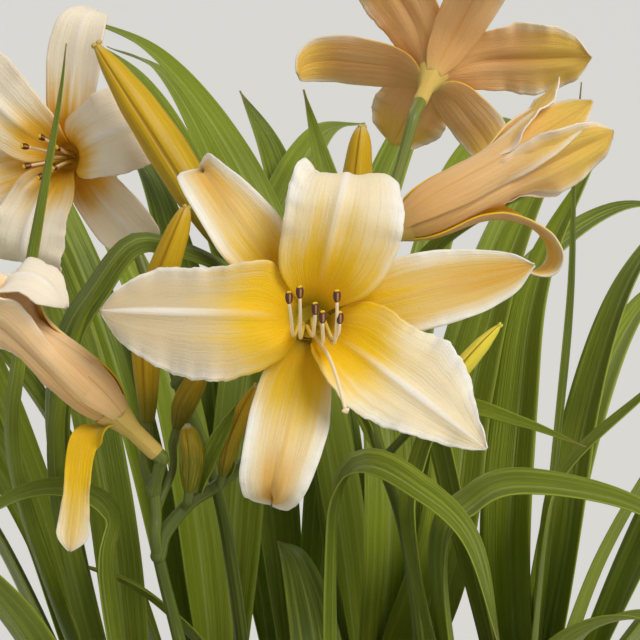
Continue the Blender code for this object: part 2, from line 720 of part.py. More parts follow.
FRONT_FORK = seen(-51.8, -79.9, -28)
LEFT_TOP = seen(-53.2, -54.0, -26)
SCAPES = {
    "scape_front": {
        "stem": [*stem_foot(-28, -40), np.array([-32.0, -48.0, 240.0]),
                 np.array([-48.0, -76.0, 330.0]), FRONT_FORK, seen(-52.4, -66, -27), LEFT_TOP],
        "branches": [
            ([seen(-53.2, -58, -26.5), *seat(bloom_foot("left"), 3.0)], 2.1),
            ([seen(-52.8, -60, -27), seen(-57.4, -50, -36), *seat(bud_axis("bud_long"), 5.0)], 1.5),
            ([seen(-52.2, -64, -27.5), seen(-47.5, -52, -33), *seat(bud_axis("bud_green"), 5.0)], 1.3),
            ([FRONT_FORK, seen(-49.6, -72.3, -29), seen(-41.3, -62.5, -31), seen(-33, -57.2, -35),
              seen(-19.5, -45.6, -42), seen(-8, -26, -52), *seat(bloom_foot("hero"), 8.0)], 2.1),
            ([seen(-43.5, -65, -30.5), *seat(bud_axis("bud_small"), 3.0)], 1.4),
            ([seen(-35.5, -59.5, -34), *seat(bud_axis("bud_bronze"), 2.5)], 1.3),
        ],
        "bracts": [([seen(-38.6, -60.5, -32.5), seen(-35, -47, -28), seen(-25.4, -28.9, -21)], 5.0),
                   ([seen(-30, -55.3, -36), seen(-27.6, -50, -34.5), seen(-27.0, -46, -34)], 3.6)],
    },
    "scape_back": {
        "stem": [*stem_foot(-28, 30), np.array([-30.0, 26.0, 260.0]),
                 np.array([-40.0, 0.0, 370.0]), seen(-50, -22, -96), seen(-62, 12, -118),
                 *seat(bloom_foot("high_left"), 10.0)],
        "branches": [
            ([seen(-50, -24, -96), seen(-36, -10, -80), seen(-23, 10, -62),
              *seat(bud_axis("bud_great"), 5.0)], 1.9),
        ],
        "bracts": [([seen(-50.5, -22, -97), seen(-58, -6, -92), seen(-66, 8, -84)], 5.0)],
    },
    "scape_right": {
        "stem": [*stem_foot(42, 0), np.array([40.0, -2.0, 270.0]),
                 np.array([30.0, -10.0, 360.0]), seen(24, -48, -84), seen(16, -14, -78),
                 seen(7, 5, -69), seen(5, 15, -63), *seat(bloom_foot("high_right"), 5.0)],
        "branches": [
            ([seen(19.5, -24, -80), *seat(bud_axis("bud_crown"), 6.0)], 1.7),
            ([seen(24.6, -52, -85), *seat(bud_axis("bud_slim"), 7.0)], 1.5),
            ([seen(25.5, -56, -86), seen(20, -20, -104), seen(26, 30, -118),
              *seat(bloom_foot("rear"), 12.0)], 1.9),
        ],
        "bracts": [([seen(24.2, -50, -84.5), seen(18, -36, -78), seen(12, -26, -70)], 4.6)],
    },
}

# Fans: foot, general heading, spread about it, number of leaves, how upright and how long
FANS = [
    (-72, 2, 165, 55, 5, 9, 430),
    (-44, 56, 130, 60, 6, 7, 470),
    (20, 70, 80, 60, 5, 7, 480),
    (76, 26, 20, 55, 3, 9, 440),
    (2, 6, 60, 150, 6, 9, 220),
    (54, -44, -35, 50, 4, 16, 340),
    (-62, -54, 215, 45, 4, 16, 340),
    (0, -74, -90, 60, 4, 22, 300),
    (-12, 88, 100, 70, 5, 10, 450),
]

# Leaves that the view shows singly: fan, points above the crown, width, the way they open, and twist
PLACED_LEAVES = [
    (0, [seen(-90, -60, -62), seen(-87.8, -11.8, -54), seen(-75.6, 12, -56), seen(-62.6, 27.2, -58),
         seen(-46.5, 25.5, -62), seen(-31, 19, -68)], 15, 200, 55),
    (6, [seen(-88, -62, -50), seen(-82.6, -8.6, -46), seen(-66.9, 18.6, -41)], 10, 250, 0),
    (6, [seen(-72, -92, -42), seen(-70, -68, -42), seen(-83, -59.2, -41), seen(-101, -61, -40),
         seen(-130, -78, -38)], 14, 180, -35),
    (7, [seen(8, -90, -42), seen(10, -60, -44), seen(18, -51, -42), seen(33, -57, -34),
         seen(52, -74, -22), seen(62, -110, -8)], 19, -20, 25),
    (5, [seen(46, -86, -44), seen(56, -64, -40), seen(74, -57.5, -36), seen(110.6, -64.8, -28),
         seen(136, -88, -20)], 21, 0, 25),
    (5, [seen(36, -80, -60), seen(38, -50, -58), seen(48, -31, -46), seen(70, -35, -32),
         seen(91.5, -43, -22)], 12, -10, 55),
    (3, [seen(52, -60, -112), seen(38, 4, -112), seen(45.3, 25.6, -112), seen(69.7, 41.7, -114),
         seen(92, 50, -118)], 13, 20, 40),
    (0, [seen(-102, -60, -48), seen(-102, -10, -48), seen(-98, 20.2, -50), seen(-88.8, 73.4, -54),
         seen(-86, 96, -56)], 9, 230, 0),
    (3, [seen(90, -60, -100), seen(95.9, 6.7, -99), seen(97.3, 56.7, -102), seen(100, 88, -106)], 8, -30, 0),
    (3, [seen(84, -80, -78), seen(91.6, -54, -72), seen(115, -28.8, -60), seen(136, -10, -50)], 13, -20, 30),
    (2, [seen(52, -90, -140), seen(62, -30, -146), seen(78, 26, -152), seen(102, 76, -160)], 26, 60, 0),
    (2, [seen(30, -90, -150), seen(28, -30, -156), seen(12, 30, -162), seen(-4, 92, -170)], 24, 100, 0),
    (3, [seen(96, -90, -120), seen(104, -40, -126), seen(120, 10, -134), seen(146, 50, -142)], 24, 30, 0),
    (3, [seen(76, -90, -134), seen(80, -34, -138), seen(88, 16, -142), seen(112, 66, -148)], 25, 50, 0),
]


def bloom_points(bloom, rows, columns):
    """Grids of the bloom's tepals in the part's frame."""
    frame = bloom_frame(bloom.axis)
    return [tepal_grid(tepal, bloom.root, rows, columns) @ frame + bloom.throat for tepal in bloom.tepals]


def tube_profile(bloom):
    """The tube's outline from the middle of its inside, up to its lip and down its outside."""
    outer = [(radius, height) for height, radius in bloom.tube]
    inner = [(radius - TUBE_WALL, height) for radius, height in outer]
    floor = outer[0][1] + TUBE_WALL
    inner[0] = (inner[0][0], floor)
    return [(0, floor)] + inner + outer[::-1] + [(0, outer[0][1])]


def place_in_bloom(thing, bloom):
    rotation = Matrix([Vector(row) for row in bloom_frame(bloom.axis)]).transposed().to_4x4()
    thing.data.transform(Matrix.Translation(Vector(bloom.throat) * MM) @ rotation)


def bloom_tepals(bloom, collection):
    steps = 10 if bloom.columns > 3 else 8
    body = turned(bloom.name + "_tube", tube_profile(bloom), collection, bloom.colour, steps)
    place_in_bloom(body, bloom)
    grids = bloom_points(bloom, bloom.rows, bloom.columns)
    blades = [sheet(f"{bloom.name}_tepal_{k}", grid, TEPAL_THICK, collection, bloom.colour)
              for k, grid in enumerate(grids)]
    joined(bloom.name + "_tepals", [body] + blades, collection, bloom.colour)


def collar_place(bloom):
    """Height of the stamens' collar in the bloom's tube, and its outer radius there."""
    heights = [height for height, _ in bloom.tube]
    radii = [radius for _, radius in bloom.tube]
    height = heights[-1] - COLLAR_DEPTH
    return height, 0.9 * (np.interp(height - COLLAR_HEIGHT / 2, heights, radii) - TUBE_WALL) - GAP


HERO_STAMENS = [
    [seen(-2.8, -3.2, 4), seen(-3.6, -6.2, 17), seen(-3.5, 2.0, 30), seen(-3.6, 8.2, 35)],
    [seen(-4.0, -2.0, 3), seen(-5.8, -5.6, 15), seen(-6.4, 2.0, 28), seen(-7.2, 7.4, 34)],
    [seen(4.0, -3.0, 4), seen(7.4, -8.0, 18), seen(7.8, 0.0, 31), seen(7.8, 7.4, 36)],
    [seen(3.8, -0.8, 3), seen(6.0, -5.4, 15), seen(8.0, -1.5, 26), seen(8.8, 3.6, 31)],
    [seen(-1.6, -2.8, 4), seen(0.2, -5.6, 17), seen(0.8, -1.0, 29), seen(1.0, 2.6, 34)],
    [seen(3.0, -2.2, 5), seen(3.6, -6.4, 20), seen(3.2, -3.0, 33), seen(2.8, 0.6, 38)],
]
HERO_STYLE = [seen(1.0, -5.8, 6), seen(4.8, -11.0, 20), seen(7.6, -18, 33), seen(10.6, -29, 42)]


def stamen_routes(bloom):
    """Each stamen's points, from the collar to the foot of its anther."""
    frame = bloom_frame(bloom.axis)
    height, radius = collar_place(bloom)
    if bloom.name == "hero":
        starts = [(np.array(route[0]) - bloom.throat) @ frame.T for route in HERO_STAMENS]
    routes = []
    for k in range(6):
        if bloom.name == "hero":
            turn = math.atan2(starts[k][1], starts[k][0]) + 0.25 * (k % 3 - 1)
            beyond = HERO_STAMENS[k]
        else:
            turn = math.radians(60 * k + 30)
            reach = bloom.stamen_reach
            spread = [(3.4, 18 * reach), (6.6 * bloom.stamen_spread, (40 + 2 * (k % 3)) * reach)]
            beyond = [np.array([r * math.cos(turn), r * math.sin(turn), z]) @ frame + bloom.throat
                      for r, z in spread]
        ring = radius - COLLAR_WALL / 2
        foot = np.array([ring * math.cos(turn), ring * math.sin(turn), height + 1.0]) @ frame + bloom.throat
        routes.append([foot, *beyond])
    return routes


def bloom_stamens(bloom, collection):
    height, radius = collar_place(bloom)
    inside = radius - COLLAR_WALL
    top = height + COLLAR_HEIGHT / 2
    bottom = height - COLLAR_HEIGHT / 2
    ring = [(inside, top), (radius, top), (radius, bottom), (inside, bottom), (inside, top)]
    collar = turned(bloom.name + "_collar", ring, collection, "stamen", steps=6)
    place_in_bloom(collar, bloom)
    pieces = [collar]
    fine = bloom.name == "hero"
    for k, route in enumerate(stamen_routes(bloom)):
        points = spline(route, 7) if fine else route
        along = unit(UP * 0.9 + TOWARD * 0.5) if fine else unit(points[-1] - points[-2])
        anther = [points[-1] + along * ANTHER_LENGTH * step for step in (0.2, 1.0)]
        radii = [0.5, *np.linspace(*FILAMENT_RADII, len(points) - 1), *ANTHER_RADII]
        pieces.append(tube(f"{bloom.name}_stamen_{k}", [*points, *anther], radii, collection, "stamen",
                           THREAD_SIDES))
    joined(bloom.name + "_stamens", pieces, collection, "stamen")


def style_route(bloom):
    """The pistil's points, from the floor of the tube to the stigma."""
    frame = bloom_frame(bloom.axis)
    floor = bloom.tube[0][0] + TUBE_WALL + GAP
    height, _ = collar_place(bloom)
    inside = [np.array([0, 0, z]) @ frame + bloom.throat for z in (floor, height, height + 6)]
    if bloom.name == "hero":
        return inside + HERO_STYLE
    beyond = [np.array([x, 0, z * bloom.stamen_reach]) @ frame + bloom.throat
              for x, z in ((1.2, 26), (4.5, 50))]
    return inside + beyond


def bloom_pistil(bloom, collection):
    points = spline(style_route(bloom), 13 if bloom.name == "hero" else 7)
    radii = np.linspace(*STYLE_RADII, len(points))
    radii[-1] = STIGMA_RADIUS
    style = tube(bloom.name + "_style", points, radii, collection, "pistil", THREAD_SIDES)
    named(style, bloom.name + "_pistil", collection, "pistil")


def bud(name, collection):
    route, radius = BUDS[name]
    radii = [radius * share for _, share in BUD_SHAPE]
    places = np.array([place for place, _ in BUD_SHAPE])
    fine = spline(route, 101)
    points = np.stack([np.interp(places, np.linspace(0, 1, 101), fine[:, k]) for k in range(3)], 1)
    named(tube(name + "_body", points, radii, collection, "bud"), name, collection, "bud")


def stalk(points):
    """A stalk's route. Its last stretch is straight, so its end faces what it carries."""
    return np.vstack([spline(points[:-1], 2 * len(points) - 3), points[-1]])


def bract_grid(points, width):
    return leaf_grid(points, width, LEAF_ROWS, math.radians(90), open_fold=BRACT_FOLD)


def scape(name, collection):
    plan = SCAPES[name]
    stem = stalk(plan["stem"])
    radii = np.linspace(STEM_RADIUS + STEM_TAPER, STEM_RADIUS - STEM_TAPER, len(stem))
    pieces = [tube(name + "_stem", stem, radii, collection, "scape")]
    for k, (points, radius) in enumerate(plan["branches"]):
        route = stalk(points)
        sides = STEM_SIDES if radius > 1.8 else THREAD_SIDES
        radii = np.full(len(route), radius)
        pieces.append(tube(f"{name}_branch_{k}", route, radii, collection, "scape", sides))
    for k, (points, width) in enumerate(plan["bracts"]):
        grid = bract_grid(points, width)
        pieces.append(sheet(f"{name}_bract_{k}", grid, BLADE_THICK, collection, "scape"))
    joined(name, pieces, collection, "scape")


def crown_spot(fan, heading, out):
    """A leaf's foot, inside its fan's crown."""
    x, y = FANS[fan][:2]
    return np.array([x + out * math.cos(heading), y + out * math.sin(heading), LEAF_FOOT])


def placed_leaf(fan, points, heading):
    """A leaf with its own points, from its fan's crown."""
    foot = crown_spot(fan, heading, 4.5)
    first = np.asarray(points[0])
    rise = foot + np.array([0, 0, 66.0]) + 0.18 * (first - foot) * np.array([1, 1, 0])
    return [foot, rise, *points]


def grow_leaves(space):
    """Every leaf's route, width and heading. A leaf tries other ways until it meets nothing."""
    leaves = {number: [] for number in range(len(FANS))}
    for fan, points, width, heading, twist in PLACED_LEAVES:
        heading = math.radians(heading)
        route = placed_leaf(fan, points, heading)
        keep_leaf(space, leaves, fan, route, width, heading, twist, PLACED_ROWS)
    for number, (_, _, way, spread, count, lean, length) in enumerate(FANS):
        random = np.random.default_rng(FAN_SEED + 1 + number)
        for k in range(count):
            for attempt in range(TRIES):
                share = (k + 0.5) / count * 2 - 1
                outer = k % 2
                heading = math.radians(way + spread * share + random.normal(0, 4 + attempt * 0.8))
                foot = crown_spot(number, heading, 2.0 + 4.5 * outer)
                route = arching_route(foot, heading, length * random.uniform(0.82, 1.08),
                                      lean + 6 * outer + random.uniform(-2, 3), random.uniform(85, 160),
                                      random.uniform(-22, 22))
                width = random.uniform(*LEAF_WIDTHS)
                twist = random.uniform(-25, 25)
                grid = leaf_grid(route, width, LEAF_ROWS, heading, twist)
                if fits(space, grid, number):
                    keep_leaf(space, leaves, number, route, width, heading, twist, LEAF_ROWS)
                    break
    return leaves


def fits(space, grid, fan):
    points = filled(grid)
    if points[..., 2].min() < 120 or hides_blooms(points[30:]):
        return False
    return space.is_free(points, fan + 1, points[10:])


def keep_leaf(space, leaves, fan, route, width, heading, twist, rows):
    points = filled(leaf_grid(route, width, rows, heading, twist))
    space.hold(points, fan + 1, points[10:])
    leaves[fan].append((route, width, heading, twist, rows))


def hold_fixed_pieces(space):
    """Blooms, buds and scapes take their space before any leaf."""
    owner = 100
    for bloom in BLOOMS:
        for grid in bloom_points(bloom, bloom.rows, bloom.columns):
            space.hold(filled(grid), owner)
        for route in stamen_routes(bloom) + [style_route(bloom)]:
            space.hold(spline(route, 60), owner)
        foot, axis = bloom_foot(bloom.name)
        space.hold(np.array([foot + step * axis for step in range(0, 20, 2)]), owner)
    for route, radius in BUDS.values():
        space.hold(around(spline(route, 40), radius), owner)
    for plan in SCAPES.values():
        space.hold(around(spline(plan["stem"], 200), STEM_RADIUS), owner)
        for points, radius in plan["branches"]:
            space.hold(around(spline(points, 100), radius), owner)
        for points, width in plan["bracts"]:
            space.hold(filled(bract_grid(points, width)), owner)


def around(points, radius):
    """Points on a rough skin of a tube about a line."""
    shifts = [np.array([x, y, z]) * radius * 0.6 for x in (-1, 0, 1) for y in (-1, 0, 1) for z in (-1, 0, 1)]
    return np.concatenate([points + shift for shift in shifts])


def crown(number, collection):
    x, y = FANS[number][:2]
    name = f"crown_{number}"
    mesh = cone_mesh(name, x, y, SOIL_TOP - ROOT_DEPTH, CROWN_TOP, CROWN_RADIUS, CROWN_RADIUS * 0.72)
    return mesh_object(name, mesh, collection, "leaf")


def leaf_fan(number, leaves, collection):
    pieces = [crown(number, collection)]
    for k, (route, width, heading, twist, rows) in enumerate(leaves):
        grid = leaf_grid(route, width, rows, heading, twist)
        pieces.append(sheet(f"leaf_{number}_{k}", grid, BLADE_THICK, collection, "leaf"))
    joined(f"leaf_fan_{number + 1}", pieces, collection, "leaf")


def build():
    clear_scene()
    plant = new_collection("daylily_plant")
    pot(plant)
    soil(plant)
    for bloom in BLOOMS:
        bloom_tepals(bloom, plant)
        bloom_stamens(bloom, plant)
        bloom_pistil(bloom, plant)
    for name in BUDS:
        bud(name, plant)
    for name in SCAPES:
        scape(name, plant)
    space = Space()
    hold_fixed_pieces(space)
    leaves = grow_leaves(space)
    for number in leaves:
        leaf_fan(number, leaves[number], plant)


build()
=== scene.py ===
"""A daylily in a clay pot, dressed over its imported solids: fine petals, leaves, stems, soil and pot.

Shape functions work in millimetres and degrees, and a form is scaled to metres when its mesh is made.
The panel in the sidebar of the 3D view holds the sizes and colours that a user would change.
"""
import math
from dataclasses import dataclass

import bpy
import numpy as np
from bpy.props import FloatProperty, FloatVectorProperty, IntProperty, PointerProperty
from mathutils import Matrix, Vector
from mathutils.kdtree import KDTree


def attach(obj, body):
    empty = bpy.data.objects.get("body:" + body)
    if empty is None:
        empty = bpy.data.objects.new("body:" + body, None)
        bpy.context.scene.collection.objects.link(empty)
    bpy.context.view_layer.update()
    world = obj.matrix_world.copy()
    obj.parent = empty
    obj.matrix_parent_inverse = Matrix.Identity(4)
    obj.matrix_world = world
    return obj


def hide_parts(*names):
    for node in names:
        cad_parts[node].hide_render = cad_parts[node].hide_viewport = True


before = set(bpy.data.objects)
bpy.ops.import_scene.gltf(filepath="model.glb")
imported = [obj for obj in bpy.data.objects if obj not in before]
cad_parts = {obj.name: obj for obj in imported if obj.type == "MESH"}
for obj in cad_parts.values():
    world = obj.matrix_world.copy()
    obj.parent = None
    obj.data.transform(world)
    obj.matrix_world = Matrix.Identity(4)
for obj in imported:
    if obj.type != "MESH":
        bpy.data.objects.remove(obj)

bl_info = {
    "name": "Potted daylily",
    "version": (1, 0, 0),
    "blender": (4, 5, 0),
    "location": "View3D > Sidebar > Daylily",
    "description": "Dresses a potted daylily's solids with fine petals, leaves, soil and clay",
    "category": "Object",
}

MM = 0.001

# Pot and soil, as the solids have them
POT_HEIGHT = 200.0
POT_TOP_RADIUS = 116.0
POT_BASE_RADIUS = 86.0
POT_WALL = 7.0
POT_FLOOR = 9.0
RIM_HEIGHT = 38.0
RIM_PROUD = 6.0
DRAIN_RADIUS = 6.0
DRAIN_CIRCLE = 46.0
DRAINS = 5
SOIL_TOP = 182.0
ROOT_DEPTH = 24.0

# The pot's rounded edges, and the soil with its crumbs. A draw up to the two limits gives a crumb or bark
POT_EDGE = 3.0
FLOOR_EDGE = 5.0
RIM_TAPER = 0.04
RIM_LOWER_EDGE = 2.0
RIM_HOLLOW = 2.4
SOIL_RINGS = 52
SOIL_STEPS = 120
SOIL_RELIEF = 1.4
SOIL_WAVES = 14
CRUMB_SIZES = (0.8, 2.2)
CRUMBS_UP_TO = 0.72
BARK_UP_TO = 0.93
BARK_TONE = 0.8
LUMP = (0.3, 0.8, 1, 0.9, 0.7, 0.25)

# The front bloom's throat, and the view on it
THROAT = np.array([-6.0, -105.0, 470.0])
VIEW_DOWN = 12.0
VIEW_DISTANCE = 700.0
VIEW_CENTRE = (2.6, -0.65)
VIEW_WIDTH = 207.1
SENSOR_WIDTH = 36.0

# Lights: the ways that they come from, and their spread in degrees
KEY_WAY = (0.46, -0.56, 0.69)
BACK_WAY = (-0.5, 0.6, 0.62)
LIGHT_SPREAD = 30.0

# Leaves. A drawn leaf's measures come from the ranges, its length as a share of its fan's
LEAF_CROWDING = 0.75
LEAF_WIDTHS = (18.0, 26.0)
LEAF_LENGTHS = (0.82, 1.08)
LEAF_LEANS = (-2, 3)
LEAF_DROOPS = (85, 160)
LEAF_DRIFTS = (-22, 22)
LEAF_TWISTS = (-25, 25)
FOOT_FOLD = 62.0
OPEN_FOLD = 22.0
BRACT_FOLD = 35.0
BRACT_ROWS = 24
BRACT_THICKNESS = 0.5
SHEATHS = 9
FAN_SEED = 40
CROWN_RADIUS = 11.2
CROWN_TOP = 234.0
LEAF_FOOT = 204.0
TRIES = 60
TIP_REACH = 1.5

# Scapes and buds
GAP = 0.3
STEM_RADIUS = 2.6
STEM_TAPER = 0.6
SCAPE_REACH = 360.0
POINTED = ((0.0, 0.4), (0.1, 0.66), (0.28, 0.94), (0.5, 1.0), (0.72, 0.84), (0.9, 0.48), (1.0, 0.14))
BLUNT = ((0.0, 0.4), (0.1, 0.62), (0.3, 0.92), (0.5, 1.0), (0.72, 0.94), (0.88, 0.74), (0.96, 0.5),
         (1.0, 0.2))
BUD_ROWS = 60
BUD_SIDES = 60
KNOB = (0.5, 0.9, 1, 1, 0.9, 0.65, 0.2)
KNOB_SHARE = 0.17

# Stamens and pistils
FILAMENT_RADII = (0.72, 0.5)
FILAMENT_ROWS = 40
ANTHER_LENGTH = 4.6
ANTHER_SIDES = 16
STYLE_RADII = (0.7, 0.55)
STYLE_ROWS = 60
COLLAR_DEPTH = 6.0

# Tepals. The lean tables give the angle from the bloom's axis at each station along a tepal, and the tube
# tables a tube's heights and outer radii
TEPAL_CROWDING = 0.9
ROOT_STEP = 0.4
RIB_RISE = 0.9
STATIONS = (0.0, 0.15, 0.3, 0.45, 0.6, 0.75, 0.9, 1.0)
FLAT = (15, 30, 60, 82, 84, 84, 83, 82)
BENT = (15, 30, 60, 82, 88, 92, 95, 98)
SPREAD = (26, 48, 80, 84, 84, 82, 79, 76)
CURLED = (15, 25, 45, 62, 86, 146, 208, 225)
TUCKED = (26, 48, 78, 80, 80, 105, 168, 190)
FUNNEL = (30, 9, -1, -2, 2, 30, 90, 150)
HERO_TUBE = ((-38, 3.0), (-30, 3.4), (-20, 4.0), (-10, 5.4), (-4, 7.0))
SIDE_TUBE = ((-18, 2.9), (-8, 3.0), (-2, 4.6), (3, 6.6))
TUBE_WALL = 1.4
TUBE_SIDES = 40


def unit(vector):
    vector = np.asarray(vector, float)
    return vector / np.linalg.norm(vector)


def unit_rows(vectors):
    """Each row of an array of vectors at length 1."""
    return vectors / np.linalg.norm(vectors, axis=1)[:, None]


def smooth(value):
    """0 up to 0, 1 from 1 on and a smooth rise between them."""
    value = np.clip(value, 0, 1)
    return value * value * (3 - 2 * value)


def circle(count):
    """Angles spread evenly over a full turn."""
    return np.linspace(0, 2 * math.pi, count, endpoint=False)


def about_axis(turn, radius, height):
    """A point at a turn round the upright axis, a distance from it and a height."""
    return np.array([radius * math.cos(turn), radius * math.sin(turn), height])


RIGHT = np.array([1.0, 0.0, 0.0])
TOWARD = np.array([0.0, -math.cos(math.radians(VIEW_DOWN)), math.sin(math.radians(VIEW_DOWN))])
UP = np.cross(TOWARD, RIGHT)


def seen(right, up, toward):
    """A point given as someone facing the front bloom sees it, measured from its throat."""
    return THROAT + right * RIGHT + up * UP + toward * TOWARD


def seen_route(places):
    """The points of a route through places given as seen() takes them."""
    return [seen(*place) for place in places]


def view_axis(right, up, toward):
    """A direction given as someone facing the front bloom sees it."""
    return unit(right * RIGHT + up * UP + toward * TOWARD)


def bloom_frame(axis):
    """Rows are the bloom's own right, up and outward directions."""
    outward = unit(axis)
    right = unit(np.cross((0, 0, 1), outward))
    return np.array([right, np.cross(outward, right), outward])


@dataclass
class Tepal:
    """One petal or sepal. ccw and cw are its half widths on either side, at the stations.

    turn is its way round the bloom and lean its angles from the axis. cup curls both margins, wave and
    frill ruffle them, and a fold lifts one of them at one place. crest moves its outer half in or out by
    a curve across it. Below closed_to it wraps round the bloom, and under sets a sepal behind the petals.
    """
    turn: float
    length: float
    lean: tuple
    ccw: tuple
    cw: tuple
    sepal: bool = False
    cup: float = 0.0
    wave: float = 1.0
    waves: float = 3.6
    phase: float = 0.0
    fold_side: float = 0.0
    fold_at: float = 0.4
    fold_spread: float = 0.1
    fold_rise: float = 0.0
    under: float = 1.6
    closed_to: float = 0.44
    twist: float = 0.0
    frill: float = 1.0
    crest: tuple = ((-1, 0), (1, 0))


@dataclass
class Bloom:
    """A bloom. tube gives its tube's heights and outer radii, and root where its tepals start in it."""
    name: str
    throat: np.ndarray
    axis: np.ndarray
    tepals: list
    tube: tuple
    root: tuple
    stamen_reach: float = 1.0
    stamen_spread: float = 1.0
    frill: float = 1.0


# The front bloom, tepal by tepal
HERO = Bloom(
    name="hero", throat=THROAT, axis=TOWARD + 0.10 * UP + 0.02 * RIGHT, tube=HERO_TUBE, root=(4.6, -10.0),
    tepals=[
        Tepal(178.6, 74, BENT, ccw=(4, 12, 17.5, 22, 21.5, 17.8, 11, 2.5),
              cw=(4, 12, 18.5, 15, 14, 14.5, 8.8, 2), cup=-0.16, wave=1.2, phase=0.6, frill=0.6,
              fold_side=-1, fold_at=0.4, fold_rise=6),
        Tepal(76, 83, CURLED, ccw=(4, 10, 15, 16, 17, 16, 10, 2), cw=(4, 12, 19, 22, 21, 17.5, 11, 2),
              cup=-0.05, wave=0.8, phase=2.0, frill=0.3,
              crest=((-1, -2.5), (-0.8, -1), (-0.5, -2), (0, -4.5), (0.3, -4.5), (0.72, -6), (0.92, -3),
                     (1, -2))),
        Tepal(-38.6, 76.5, FLAT, ccw=(4, 12, 16.8, 16.5, 20.2, 16, 6, 1.5),
              cw=(4, 9, 12.5, 17, 14.6, 10.3, 5.3, 1.5), wave=1.3, phase=4.0, frill=0.7,
              fold_side=-1, fold_at=0.33, fold_spread=0.13, fold_rise=9),
        Tepal(12.5, 74.5, SPREAD, ccw=(3, 6, 11, 12.7, 12.2, 9.8, 6.2, 1),
              cw=(3, 6, 11, 12.5, 12.2, 11, 7.5, 1), sepal=True, cup=0.15, wave=0.4, waves=2),
        Tepal(125.5, 78, TUCKED, ccw=(3, 6, 10.5, 12.5, 11.6, 10.6, 8.5, 3),
              cw=(3, 6, 9.5, 10.5, 8.6, 5.4, 4, 2), sepal=True, cup=0.2, wave=0.3, waves=2,
              crest=((-1, 0.5), (-0.5, -2), (0.1, -4), (0.6, -1.5), (1, -1))),
        Tepal(257.5, 78, TUCKED, ccw=(3, 6.5, 11, 13, 12, 10.3, 7, 3),
              cw=(3, 6.5, 12, 13.2, 12.8, 12.2, 9, 3), sepal=True, cup=-0.05, wave=0.4, waves=2,
              crest=((-1, -1), (-0.5, -2.5), (-0.12, -5.5), (0.25, -2), (0.6, -3), (1, -1))),
    ])


def open_tepals(start, length):
    """Three broad petals and three narrow sepals around a bloom."""
    broad = (4, 9, 12, 14, 16, 15, 10, 2)
    narrow = (3, 7, 9.5, 10.5, 11, 10, 7, 1.5)
    petals = [Tepal(start + 120 * k, length, FLAT, broad, broad, wave=0.9, phase=1.3 * k)
              for k in range(3)]
    sepals = [Tepal(start + 60 + 120 * k, length + 2, TUCKED, narrow, narrow, sepal=True, wave=0.4,
                    waves=2, cup=0.1) for k in range(3)]
    return petals + sepals


def funnel_tepals(petals, sepals):
    """A long closed funnel that opens at its mouth, from the turn, leans and length of each tepal."""
    broad = (4, 8, 9.5, 10.5, 12, 13, 10, 2.5)
    narrow = (3, 6, 8, 9, 9.5, 9.5, 7, 1.5)
    return ([Tepal(turn, length, lean, broad, broad, wave=0.9, phase=turn, closed_to=0.74)
             for turn, lean, length in petals]
            + [Tepal(turn, length, lean, narrow, narrow, sepal=True, cup=0.14, wave=0.4, waves=2,
                     under=1.3, closed_to=0.74) for turn, lean, length in sepals])


# The bloom at the left: one petal curls right over, and one sepal hangs down from the throat, face on
LEFT_TEPALS = funnel_tepals(
    petals=((66, (30, 4, -9, -13, -6, 112, 186, 194), 85.3), (210, FUNNEL, 76), (330, FUNNEL, 76)),
    sepals=((30, (30, 3, -10, -14, -9, -4, 2, 6), 68), (150, (30, 6, -6, -8, -2, 24, 70, 110), 68)))
HANGING = (4, 5.2, 4.6, 4.4, 4.2, 5, 5.5, 1.5)
LEFT_TEPALS.append(Tepal(288, 47, (40, 90, 124, 130, 130, 128, 126, 124), HANGING, HANGING, sepal=True,
                         cup=0.2, wave=0.5, waves=2, closed_to=0.12, twist=-78))
# The bloom at the right: long and nearly straight, with one sepal curled under
RIGHT_TEPALS = funnel_tepals(
    petals=((200, (30, 9, 0, 0, 3, 6, 4, -8), 84), (80, (30, 9, 0, 0, 4, 14, 26, 34), 80),
            (320, (30, 9, 0, 0, 6, 24, 44, 60), 78)),
    sepals=((270, (30, 9, 6, 32, 56, 90, 200, 240), 84), (140, (30, 9, 0, 0, 2, 6, 10, 14), 82),
            (20, (30, 9, 0, 0, 6, 14, 20, 24), 80)))

# Two of the high left bloom's petals curl back, and one of its sepals and two of the rear bloom's tepals
# are short
HIGH_LEFT_TEPALS = open_tepals(20, 66)
HIGH_LEFT_TEPALS[0].lean = CURLED
HIGH_LEFT_TEPALS[2].lean = CURLED
HIGH_LEFT_TEPALS[5].length = 56.0
REAR_TEPALS = open_tepals(60, 66)
REAR_TEPALS[2].length = 48.0
REAR_TEPALS[4].length = 51.0


def side_bloom(name, throat, axis, tepals, stamen_reach, stamen_spread=1.0):
    """A bloom on a short tube, with softly ruffled margins."""
    return Bloom(name=name, throat=throat, axis=axis, tube=SIDE_TUBE, root=(4.2, -1.0), tepals=tepals,
                 stamen_reach=stamen_reach, stamen_spread=stamen_spread, frill=0.35)


SIDE_BLOOMS = [
    side_bloom("left", seen(-64.7, -31.7, -14), view_axis(-0.70, 0.70, 0.16), LEFT_TEPALS, 0.8, 0.6),
    side_bloom("high_left", seen(-90, 60, -108), view_axis(-0.34, -0.06, 0.93), HIGH_LEFT_TEPALS, 0.55),
    side_bloom("high_right", seen(30.5, 32.0, -64), view_axis(0.87, 0.48, -0.10), RIGHT_TEPALS, 0.8, 0.6),
    side_bloom("rear", seen(46, 94, -150), view_axis(0.25, 0.55, -0.80), REAR_TEPALS, 0.9),
]
BLOOMS = {bloom.name: bloom for bloom in [HERO, *SIDE_BLOOMS]}

